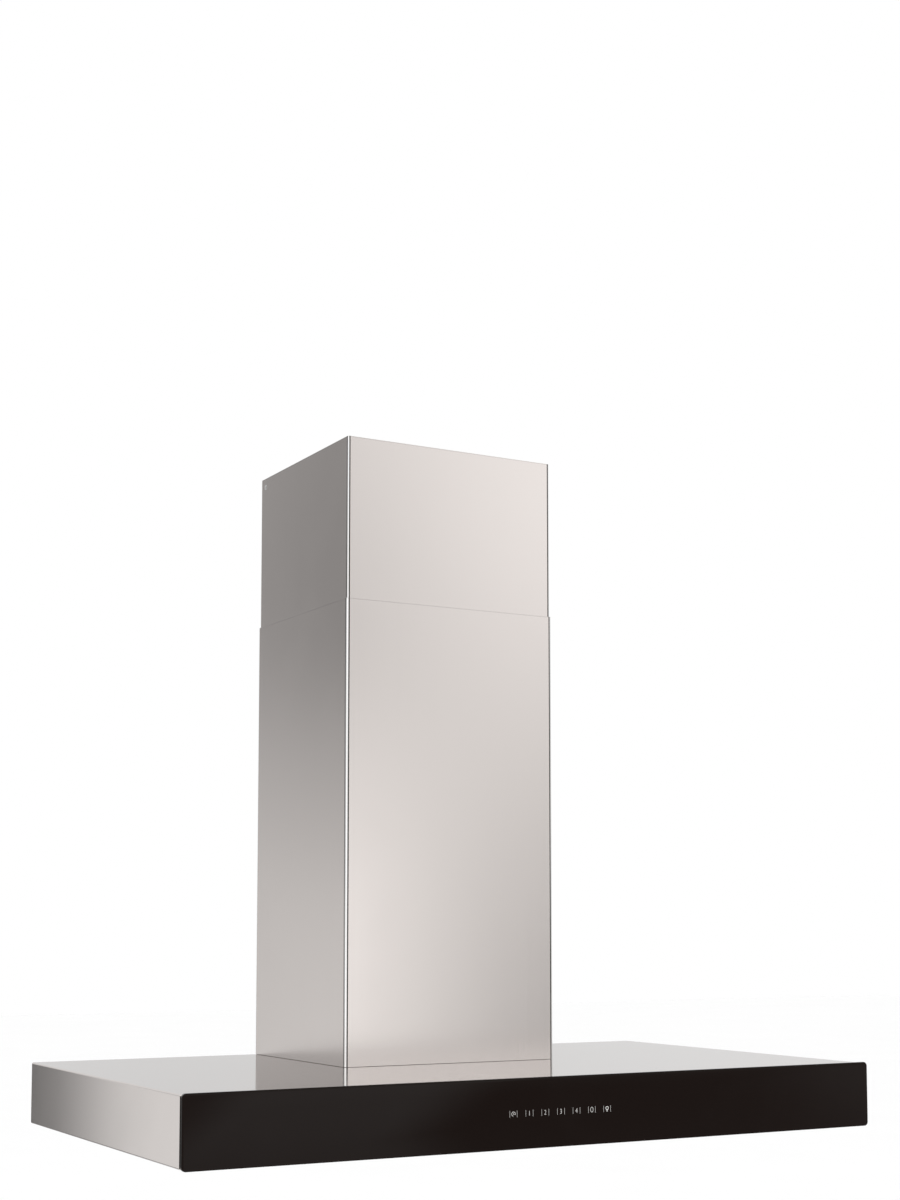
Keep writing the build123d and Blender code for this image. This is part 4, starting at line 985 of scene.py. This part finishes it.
def digit(text, x, z, height):
    """A plain numeral as a thin mesh on the glass."""
    curve = bpy.data.curves.new("digit", "FONT")
    curve.body = text
    curve.align_x = "CENTER"
    curve.align_y = "CENTER"
    curve.size = height / 0.72
    curve.offset = -0.00009
    curve.extrude = MARK_DEPTH / 2
    curve.resolution_u = 6
    obj = linked(bpy.data.objects.new("digit", curve))
    settled = bpy.data.meshes.new_from_object(obj)
    bpy.data.objects.remove(obj)
    co = np.array([v.co for v in settled.vertices])
    mid = (co.min(0) + co.max(0)) / 2
    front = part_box("front_glass")[0].y
    turn = Matrix.Translation((x, front + MARK_DEPTH / 2, z)) @ Matrix.Rotation(math.pi / 2, 4, "X")
    narrow = Matrix.Diagonal((0.8, 1.0, 1.0, 1.0))
    settled.transform(turn @ narrow @ Matrix.Translation((-mid[0], -mid[1], 0.0)))
    return outward(linked(bpy.data.objects.new("digit", settled)))


def timer_mark(x, z, line):
    """Open ring with two clock hands."""
    hands = ((x, z + 1.3 * MM), (x, z), (x + 1.0 * MM, z - 0.8 * MM))
    return [stroke(arc(x, z, 2.3 * MM, -30, 260), line * 1.4), stroke(hands, line * 1.2)]


def lamp_mark(x, z, line):
    """Bulb over its two cap lines."""
    marks = [stroke(ring(x, z + 0.7 * MM, 1.75 * MM), line * 2.0, closed=True)]
    for drop, half in ((-1.9, 1.0), (-2.8, 0.7)):
        level = z + drop * MM
        marks.append(stroke(((x - half * MM, level), (x + half * MM, level)), line * 1.4))
    return marks


def make_keys():
    """Seven key marks: a timer loop, five numerals and a lamp, each between two fine bars."""
    sizes = bpy.context.scene.hood_sizes
    z = middle("touch_board").z
    line = sizes.key_line
    marks = []
    for i, label in enumerate(("timer", "1", "2", "3", "4", "0", "lamp")):
        x = (i - 3) * sizes.key_pitch
        for side in (-1, 1):
            bar = x + side * sizes.key_frame / 2
            marks.append(stroke(((bar, z - sizes.key_bar / 2), (bar, z + sizes.key_bar / 2)), line * 0.75))
        if label == "timer":
            marks += timer_mark(x, z, line)
        elif label == "lamp":
            marks += lamp_mark(x, z, line)
        elif label == "0":
            oval = [(x + (p.x - x) * 0.62, p.y) for p in ring(x, z, sizes.key_height / 2)]
            marks.append(stroke(oval, line * 1.2, closed=True))
        else:
            marks.append(digit(label, x, z, sizes.key_height))
    finished(joined("key_marks", marks), "key_print", "root", "black_glass")


# --- pieces: flue covers ---------------------------------------------------------------------
def flue_bend(inner):
    """Outer radius of a cover's front corners."""
    sizes = bpy.context.scene.hood_sizes
    return sizes.flue_bend - (sizes.flue_bend_step if inner else 0.0)


def flue_sheet(name, node, radius, gap=0.0):
    """Folded cover with its rear return flanges, open at both ends."""
    thick, flange = bpy.context.scene.hood_sizes.sheet, bpy.context.scene.hood_sizes.flue_flange
    low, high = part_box(node)
    half = high.x - thick / 2
    front, rear = low.y + thick / 2, high.y - thick / 2
    corners = [
        (-high.x + flange, rear),
        (-half, rear),
        (-half, front),
        (half, front),
        (half, rear),
        (high.x - flange, rear),
    ]
    path = rounded(corners, radius - thick / 2, FINE_BEND)
    return folded_sheet(name, path, thick, low.z + gap, high.z)


def flue_foot():
    """Inner flange at the lower cover's foot, open at the rear."""
    sizes = bpy.context.scene.hood_sizes
    low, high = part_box("lower_flue_cover")
    low.z += FOOT_GAP
    half, front, rear = high.x - FOOT_INSET, low.y + FOOT_INSET, high.y - FOOT_REAR
    outer = [Vector(p) for p in ((-half, rear), (-half, front), (half, front), (half, rear))]
    inner = offset(outer, sizes.flue_foot)
    levels = (low.z, low.z + sizes.sheet)
    verts = [(p.x, p.y, z) for z in levels for line in (outer, inner) for p in line]
    faces = []
    for i in range(3):
        faces += [
            (i, i + 1, 5 + i, 4 + i),
            (8 + i, 12 + i, 13 + i, 9 + i),
            (i, 8 + i, 9 + i, i + 1),
            (4 + i, 5 + i, 13 + i, 12 + i),
        ]
    faces += [(0, 4, 12, 8), (3, 11, 15, 7)]
    return outward(new_piece("foot", verts, faces))


def make_flues():
    lower = flue_sheet("lower_flue", "lower_flue_cover", flue_bend(False), FOOT_GAP)
    lower = eased(joined("lower_flue", [lower, flue_foot()]), COVER_EASE)
    finished(lower, "lower_flue_steel", "root", "stainless", "lower_flue_cover")
    upper = eased(flue_sheet("upper_flue", "upper_flue_cover", flue_bend(True)), COVER_EASE)
    finished(upper, "upper_flue_steel", "upper_flue", "stainless", "upper_flue_cover")
    carried("flue_wall_bracket", "flue_bracket", "galvanised", "galvanised", 0.4)


# --- pieces: blower box, outlet and mains ----------------------------------------------------
def make_blower():
    carried("blower_box", "blower_casing", "galvanised", "galvanised", 0.5)
    carried("wall_plate", "wall_fixing_plate", "galvanised", "galvanised", 0.3)
    carried("outlet_collar", "duct_collar", "black_plastic", "black_plastic", 0.5)
    for side in ("front", "rear"):
        carried("flap_" + side, "backdraught_flap_" + side, "grey_plastic", "grey_plastic", 0.25)
    carried("terminal_box", "mains_box", "grey_plastic", "grey_plastic", 0.4)
    carried("terminal_box_cover", "mains_box_lid", "grey_plastic", "grey_plastic", 0.5)
    carried("cable_gland", "mains_bush", "rubber", "rubber", 0.4)
    carried("lead_bush", "inner_lead_bush", "rubber", "rubber", 0.3)
    carried("supply_lead", "inner_lead", "rubber", "rubber")
    carried("touch_lead", "control_lead", "rubber", "rubber")
    painted("white_plastic", "terminal_block")
    painted("spring_steel", "flap_pins")


# --- pieces: fan -----------------------------------------------------------------------------
def curved_blade(name, inner, outer, half):
    """One forward-curved blade about the X axis, as a thin closed plate."""
    steps, thick = 6, 0.5 * MM
    lines = []
    for k in range(steps + 1):
        share = k / steps
        radius = inner + (outer - inner) * share
        angle = math.radians(9.0) * share**1.8
        lines.append(Vector((radius * math.cos(angle), radius * math.sin(angle))))
    loop = offset(lines, thick) + offset(lines, -thick)[::-1]
    n = len(loop)
    verts = [(x, p.x, p.y) for x in (-half, half) for p in loop]
    faces = [(i, (i + 1) % n, n + (i + 1) % n, n + i) for i in range(n)]
    for side in (0, n):
        faces += [(side + i, side + i + 1, side + n - 2 - i, side + n - 1 - i) for i in range(steps)]
    return outward(new_piece(name, verts, faces))


def make_fan():
    sizes = bpy.context.scene.hood_sizes
    low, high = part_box("impeller")
    centre = middle("impeller")
    outer = (high.z - low.z) / 2
    inner = outer - sizes.blade_depth
    half = (high.x - low.x) / 2
    blade = curved_blade("blade", inner + 0.8 * MM, outer - 0.8 * MM, half - 1 * MM)
    values = {"Piece": blade, "Count": sizes.blades, "Centre": tuple(centre)}
    values["Finish"] = material("black_plastic")
    parts = [grown("blades", wheel_tree(), values)]
    bpy.data.objects.remove(blade)
    rim, edge = 3 * MM, 0.6 * MM
    section = [(outer, edge), (outer - edge, 0), (inner + edge, 0), (inner, edge)]
    section += [(inner, rim - edge), (inner + edge, rim), (outer - edge, rim), (outer, rim - edge)]
    for x in (low.x, high.x - rim):
        parts.append(turned("rim", section, (x, centre.y, centre.z), "X", 96))
    shaft_low, shaft_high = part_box("motor_shaft")
    shaft = (shaft_high.z - shaft_low.z) / 2 + 0.02 * MM
    hub, web = 12 * MM, outer - 2 * MM
    section = [(shaft, -4 * MM), (hub, -4 * MM), (hub, 0), (web, 0), (web, 2 * MM)]
    section += [(12.5 * MM, 2 * MM), (hub, 14 * MM), (shaft, 14 * MM)]
    parts.append(turned("web", section, (sizes.disc_place, centre.y, centre.z), "X", 72))
    wheel = smooth(joined("fan_wheel", parts), 30)
    finished(wheel, "black_plastic", "fan", "black_plastic", "impeller")
    for side in SIDES:
        carried("scroll_half_" + side, "scroll_" + side, "black_plastic", "black_plastic", 0.5)
    carried("motor_body", "motor_can", "motor_steel", "motor_steel", 0.4)
    carried("motor_bracket", "motor_spider", "black_steel", "black_steel", 0.3)
    carried("motor_grommets", "motor_rubbers", "rubber", "rubber", 0.5)
    painted("spring_steel", "motor_shaft", "motor_bearings")
    carried("capacitor", "run_capacitor", "capacitor_can", "capacitor_can")
    carried("capacitor_clip", "capacitor_strap", "galvanised", "galvanised")


# --- pieces: filters -------------------------------------------------------------------------
def coil_spring(name, low, high, wire):
    """Compression spring along Y that fills a box."""
    values = {
        "Turns": 6.0,
        "Radius": (high.z - low.z) / 2 - wire,
        "Wire": wire,
        "Length": high.y - low.y - 2 * wire,
        "Start": ((low.x + high.x) / 2, low.y + wire, (low.z + high.z) / 2),
        "Finish": material("spring_steel"),
    }
    return smooth(outward(grown(name, coil_tree(), values)), 60)


def mesh_pack(side):
    """Three shifted layers of expanded metal, with a gap for the catch."""
    cell = bpy.context.scene.hood_sizes.mesh_cell
    low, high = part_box("filter_mesh_" + side)
    seat_low, seat_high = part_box("latch_seat_" + side)
    margin = Vector((1.5 * MM, 1.5 * MM, 0))
    tall = 0.75 * MM
    layers = []
    for k, z in enumerate((low.z + tall, (low.z + high.z) / 2, high.z - tall)):
        shift = (k - 1) * cell[0] / 4
        values = {
            "Width": high.x - low.x - 2 * MM - abs(shift),
            "Depth": high.y - low.y - 2 * MM,
            "Cell Width": cell[0],
            "Cell Depth": cell[1],
            "Strand": 0.9 * MM,
            "Thickness": 0.35 * MM,
            "Centre": ((low.x + high.x) / 2 + shift / 2, (low.y + high.y) / 2, z),
            "Gap Low": tuple(seat_low - margin),
            "Gap High": tuple(seat_high + margin),
            "Finish": material("mesh_aluminium"),
        }
        layers.append(grown("layer", strand_tree(), values))
    return joined("filter_mesh_pack_" + side, layers)


def make_filters():
    for side in SIDES:
        body = "filter_" + side
        carried("filter_frame_" + side, "filter_rim_" + side, "aluminium", "filter_aluminium", 0.45)
        finished(mesh_pack(side), "mesh_aluminium", body, "filter_aluminium", "filter_mesh_" + side)
        carried("latch_seat_" + side, "latch_cup_" + side, "black_plastic", "black_plastic", 0.3)
        carried("filter_latch_" + side, "catch_" + side, "black_plastic", "black_plastic", 0.3)
        low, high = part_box("latch_spring_" + side)
        spring = coil_spring("catch_spring_" + side, low, high, 0.35 * MM)
        finished(spring, "spring_steel", body, "spring_steel", "latch_spring_" + side)
        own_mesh(spring)
        painted("spring_steel", "filter_pins_" + side)


# --- pieces: lamps and controls --------------------------------------------------------------
def make_lamps():
    for side in SIDES:
        low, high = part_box("lamp_bezel_" + side)
        lens_low, lens_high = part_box("lamp_lens_" + side)
        centre = middle("lamp_bezel_" + side)
        wide = (high.x - low.x) / 2
        lens_r = (lens_high.x - lens_low.x) / 2
        tube = lens_r + 2.1 * MM
        flange = lens_low.z
        bezel = [
            (wide, flange),
            (wide, flange - 0.25 * MM),
            (wide - 0.7 * MM, low.z + 0.1 * MM),
            (wide - 2.2 * MM, low.z),
            (lens_r + 0.6 * MM, low.z),
            (lens_r - 0.9 * MM, low.z + 0.35 * MM),
            (lens_r - 1.5 * MM, flange - 0.05 * MM),
            (lens_r - 1.4 * MM, flange),
            (lens_r + 0.02 * MM, flange),
            (lens_r + 0.02 * MM, high.z),
            (tube, high.z),
            (tube, flange),
        ]
        bezel = smooth(turned("lamp_ring_" + side, bezel, (centre.x, centre.y, 0.0)), 45)
        finished(bezel, "bright_screw", "root", "lamp_bezel", "lamp_bezel_" + side)
        lens = [(lens_r, lens_high.z), (lens_r, lens_low.z + 0.4 * MM), (lens_r - 0.4 * MM, lens_low.z)]
        lens += [(lens_r * s, lens_low.z + 0.0008 * (1 - s * s) * 0.5) for s in (0.75, 0.5, 0.25, 0.02)]
        lens += [(lens_r * 0.02, lens_high.z)]
        lens = smooth(turned("lamp_cover_" + side, lens, (centre.x, centre.y, 0.0)), 45)
        finished(lens, "lamp_lens", "root", "lamp_lens", "lamp_lens_" + side)
        painted("aluminium", "lamp_body_" + side)


def make_controls():
    carried("touch_housing", "touch_case", "black_plastic", "black_plastic", 0.3)
    carried("control_box", "control_case", "grey_plastic", "grey_plastic", 0.4)
    carried("control_box_cover", "control_lid", "grey_plastic", "grey_plastic", 0.5)
    painted("circuit_board", "touch_board", "power_board")
    low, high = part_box("touch_springs")
    pitch = bpy.context.scene.hood_sizes.key_pitch
    reach = (high.z - low.z) / 2
    coils = []
    for key in range(-3, 4):
        start = Vector((key * pitch - reach, low.y, low.z))
        end = Vector((key * pitch + reach, high.y, high.z))
        coils.append(coil_spring("key_coil", start, end, 0.4 * MM))
    springs = smooth(joined("key_springs", coils), 60)
    finished(springs, "spring_steel", "root", "spring_steel", "touch_springs")


def make_screws():
    up, down, front, inward = (0, 0, 1), (0, 0, -1), (0, -1, 0), (-1, 0, 0)
    # Head radius, head height and shank radius are in millimetres.
    screw_group("case_screws", "small_screws", "zinc_screw", (3.6, 1.6, 1.9), up, 3)
    screw_group("bottom_panel_screws", "underside_screws", "bright_screw", (4.0, 1.2, 1.9), down, 5)
    screw_group("wall_plate_screws", "plate_fixing_screws", "zinc_screw", (3.6, 1.6, 1.9), front, 7)
    screw_group("motor_screws", "motor_fixing_screws", "zinc_screw", (4.0, 2.2, 1.95), inward, 9)
    # The flue's side screws face away from its middle.
    screw_group("flue_side_screws", "flue_screws", "bright_screw", (3.6, 0.3, 1.85), None, 11)


# --- stage -----------------------------------------------------------------------------------
def make_floor():
    look = bpy.context.scene.hood_stage
    reach, z = look.floor_reach, look.floor_level
    corners = [(-reach, -reach, z), (reach, -reach, z), (reach, reach, z), (-reach, reach, z)]
    floor = new_piece("floor", corners, [(0, 1, 2, 3)])
    coat = Coat("pale_floor", Roughness=0.9, Specular_IOR_Level=0.1)
    tone = noise_node(coat.tree, coat.place, Scale=1.4)
    coat.feed("Base Color", coat.blend(tone, rgb(0.95), rgb(0.97)))
    floor.data.materials.append(coat.material)
    floor.visible_glossy = False


def make_world():
    """Soft surroundings: pale walls with darker openings at the sides, as in a small studio."""
    world = bpy.data.worlds.new("studio")
    bpy.context.scene.world = world
    world.use_nodes = True
    tree = world.node_tree
    tree.nodes.clear()
    calc = partial(math_node, tree)
    way = put(tree, "ShaderNodeTexCoord").outputs["Generated"]
    part = put(tree, "ShaderNodeSeparateXYZ", {0: way}).outputs
    turn = calc("MULTIPLY", calc("ARCTAN2", part[0], part[1]), 180 / math.pi)
    rise = calc("MULTIPLY", calc("ARCSINE", part[2]), 180 / math.pi)

    def window(value, start, full, fade, end):
        """1 from full to fade, 0 before start and after end, all in degrees."""
        sides = ((start, full), (end, fade))
        return calc("MULTIPLY", *[span_node(tree, value, *s, interpolation_type="SMOOTHSTEP") for s in sides])

    def levels(value, low, high, stops):
        """Brightness along an angle, as (degrees, level) stops."""
        ramp = put(tree, "ShaderNodeValToRGB", {0: span_node(tree, value, low, high)})
        ramp.color_ramp.interpolation = "EASE"
        while len(ramp.color_ramp.elements) < len(stops):
            ramp.color_ramp.elements.new(0.5)
        for element, (angle, level) in zip(ramp.color_ramp.elements, stops):
            element.position = (angle - low) / (high - low)
            element.color = rgb(level)
        return ramp.outputs[0]

    overhead = levels(rise, -90, 90, ((-90, 0.95), (0, 1.0), (30, 1.2), (90, 1.3)))
    around = levels(turn, -180, 180, WORLD_AROUND)
    colour = mix_node(tree, window(rise, -45, -15, 20, 50), overhead, around)
    for span, stops in WORLD_PATCHES:
        colour = mix_node(tree, window(turn, *span), colour, levels(rise, -30, 30, stops))
    soft = put(tree, "ShaderNodeBackground", {"Color": colour, "Strength": 1.0}).outputs[0]
    plain = put(tree, "ShaderNodeBackground", {"Color": rgb(1.0), "Strength": 1.0}).outputs[0]
    seen = put(tree, "ShaderNodeLightPath").outputs["Is Camera Ray"]
    both = put(tree, "ShaderNodeMixShader", {0: seen, 1: soft, 2: plain}).outputs[0]
    put(tree, "ShaderNodeOutputWorld", {0: both})


def make_light():
    """One broad soft light from the front right, which the steel doesn't mirror."""
    light = bpy.data.lights.new("soft_key", "AREA")
    light.shape = "RECTANGLE"
    light.size = light.size_y = 2.0
    light.energy = 45.0
    obj = linked(bpy.data.objects.new("soft_key", light))
    obj.location = (2.2, -2.6, 2.4)
    obj.rotation_euler = (Vector((0, 0, 0.4)) - obj.location).to_track_quat("-Z", "Y").to_euler()
    obj.visible_camera = False
    obj.visible_glossy = False


def make_camera():
    look = bpy.context.scene.hood_stage
    camera = bpy.data.cameras.new("view")
    camera.sensor_fit = "VERTICAL"
    camera.sensor_height = 36.0
    camera.lens = look.lens
    camera.shift_y = look.camera_rise
    camera.clip_start = 0.05
    camera.clip_end = 60.0
    obj = linked(bpy.data.objects.new("view", camera))
    obj.location = look.camera_place
    obj.rotation_euler = (math.pi / 2 + look.camera_pitch, 0.0, -look.camera_turn)
    bpy.context.scene.camera = obj


# --- add-on ----------------------------------------------------------------------------------
def length(name, description, default):
    """Property for a length in metres."""
    return bpy.props.FloatProperty(
        name=name, description=description, default=default, unit="LENGTH", precision=5
    )


class HoodSizes(bpy.types.PropertyGroup):
    """Sizes that are free to change within the frame"""

    sheet: length("Sheet", "Thickness of the flue covers' sheet", 1.0 * MM)
    flue_bend: length("Flue bend", "Outer radius of the lower cover's front corners", 3.0 * MM)
    flue_bend_step: length("Bend step", "How much smaller the upper cover's radius is", 0.8 * MM)
    flue_flange: length("Flue flange", "Width of the covers' rear flanges", 15.0 * MM)
    flue_foot: length("Flue foot", "Width of the lower cover's foot flange", 12.0 * MM)
    glass_corner: length("Glass corner", "Corner radius of the glass", 5.0 * MM)
    key_pitch: length("Key pitch", "Distance between two touch keys", 20.7 * MM)
    key_frame: length("Key frame", "Distance between the two bars beside a key", 9.4 * MM)
    key_bar: length("Key bar", "Height of the bars beside a key", 7.2 * MM)
    key_height: length("Numeral height", "Height of the key numerals", 5.6 * MM)
    key_line: length("Key line", "Line width of the key marks", 0.38 * MM)
    blade_depth: length("Blade depth", "Radial depth of the fan's blades", 16.0 * MM)
    disc_place: length("Disc place", "Where the fan's middle disc stands across the hood", 10.0 * MM)
    blades: bpy.props.IntProperty(
        name="Blades", description="Number of fan blades", default=30, min=12, max=60
    )
    mesh_cell: bpy.props.FloatVectorProperty(
        name="Mesh cell",
        description="Width and depth of a filter mesh opening",
        size=2,
        default=(0.0125, 0.0066),
        unit="LENGTH",
    )


class HoodFinish(bpy.types.PropertyGroup):
    """Colours of the main finishes"""

    steel_colour: bpy.props.FloatVectorProperty(
        name="Steel",
        description="Reflected colour of the stainless steel",
        size=3,
        subtype="COLOR",
        default=(0.657, 0.613, 0.59),
    )
    glass_colour: bpy.props.FloatVectorProperty(
        name="Glass",
        description="Colour behind the black glass",
        size=3,
        subtype="COLOR",
        default=(0.0068, 0.0037, 0.0028),
    )


class HoodStage(bpy.types.PropertyGroup):
    """Camera and floor"""

    lens: bpy.props.FloatProperty(name="Lens", description="Focal length in millimetres", default=55.29)
    camera_rise: bpy.props.FloatProperty(
        name="Rise", description="Upward shift of the picture", default=170 / 1200
    )
    camera_place: bpy.props.FloatVectorProperty(
        name="Place",
        description="Where the camera stands",
        size=3,
        subtype="TRANSLATION",
        default=(-1.128, -2.022, 0.2446),
    )
    camera_turn: bpy.props.FloatProperty(
        name="Turn", description="Camera's turn to the right", default=0.510, subtype="ANGLE"
    )
    camera_pitch: bpy.props.FloatProperty(
        name="Pitch", description="Camera's upward tilt", default=0.085, subtype="ANGLE"
    )
    floor_level: length("Floor level", "Height of the floor", -1.2)
    floor_reach: length("Floor reach", "Half the floor's width", 28.0)


class HOOD_OT_stage(bpy.types.Operator):
    """Make the floor, the surroundings, the light and the camera"""

    bl_idname = "hood.stage"
    bl_label = "Stage"

    def execute(self, context):
        context.scene.view_settings.view_transform = "Standard"
        make_floor()
        make_world()
        make_light()
        make_camera()
        return {"FINISHED"}


class HOOD_OT_canopy(bpy.types.Operator):
    """Make the canopy's body, underside and carrier"""

    bl_idname = "hood.canopy"
    bl_label = "Canopy"

    def execute(self, context):
        make_canopy()
        return {"FINISHED"}


class HOOD_OT_glass(bpy.types.Operator):
    """Make the glass front and its key marks"""

    bl_idname = "hood.glass"
    bl_label = "Glass"

    def execute(self, context):
        make_glass()
        make_keys()
        return {"FINISHED"}


class HOOD_OT_flues(bpy.types.Operator):
    """Make the two flue covers and the wall bracket"""

    bl_idname = "hood.flues"
    bl_label = "Flue covers"

    def execute(self, context):
        make_flues()
        return {"FINISHED"}


class HOOD_OT_blower(bpy.types.Operator):
    """Make the casing, outlet and mains connection"""

    bl_idname = "hood.blower"
    bl_label = "Blower box"

    def execute(self, context):
        make_blower()
        return {"FINISHED"}


class HOOD_OT_fan(bpy.types.Operator):
    """Make the scroll, wheel and motor"""

    bl_idname = "hood.fan"
    bl_label = "Fan"

    def execute(self, context):
        make_fan()
        return {"FINISHED"}


class HOOD_OT_filters(bpy.types.Operator):
    """Make both filters and their catches"""

    bl_idname = "hood.filters"
    bl_label = "Filters"

    def execute(self, context):
        make_filters()
        return {"FINISHED"}


class HOOD_OT_lamps(bpy.types.Operator):
    """Make both lamps"""

    bl_idname = "hood.lamps"
    bl_label = "Lamps"

    def execute(self, context):
        make_lamps()
        return {"FINISHED"}


class HOOD_OT_controls(bpy.types.Operator):
    """Make the control housings and key springs, and give the boards their finish"""

    bl_idname = "hood.controls"
    bl_label = "Controls"

    def execute(self, context):
        make_controls()
        return {"FINISHED"}


class HOOD_OT_screws(bpy.types.Operator):
    """Make every screw"""

    bl_idname = "hood.screws"
    bl_label = "Screws"

    def execute(self, context):
        make_screws()
        return {"FINISHED"}


GROUPS = {"hood_sizes": HoodSizes, "hood_finish": HoodFinish, "hood_stage": HoodStage}
OPERATORS = (
    HOOD_OT_stage,
    HOOD_OT_canopy,
    HOOD_OT_glass,
    HOOD_OT_flues,
    HOOD_OT_blower,
    HOOD_OT_fan,
    HOOD_OT_filters,
    HOOD_OT_lamps,
    HOOD_OT_controls,
    HOOD_OT_screws,
)


class HOOD_PT_panel(bpy.types.Panel):
    """Lists the hood's pieces and their sizes"""

    bl_idname = "HOOD_PT_panel"
    bl_label = "Range Hood"
    bl_space_type = "VIEW_3D"
    bl_region_type = "UI"
    bl_category = "Range Hood"

    def draw(self, context):
        for name in GROUPS:
            settings = getattr(context.scene, name)
            for key in settings.__annotations__:
                self.layout.prop(settings, key)
        for piece in OPERATORS:
            self.layout.operator(piece.bl_idname)


CLASSES = (*GROUPS.values(), *OPERATORS, HOOD_PT_panel)


def register():
    for cls in CLASSES:
        bpy.utils.register_class(cls)
    for name, settings in GROUPS.items():
        setattr(bpy.types.Scene, name, bpy.props.PointerProperty(type=settings))


def unregister():
    for name in GROUPS:
        delattr(bpy.types.Scene, name)
    for cls in reversed(CLASSES):
        bpy.utils.unregister_class(cls)


def main():
    register()
    bpy.ops.hood.stage()
    bpy.ops.hood.canopy()
    bpy.ops.hood.glass()
    bpy.ops.hood.flues()
    bpy.ops.hood.blower()
    bpy.ops.hood.fan()
    bpy.ops.hood.filters()
    bpy.ops.hood.lamps()
    bpy.ops.hood.controls()
    bpy.ops.hood.screws()


if __name__ == "__main__":
    main()
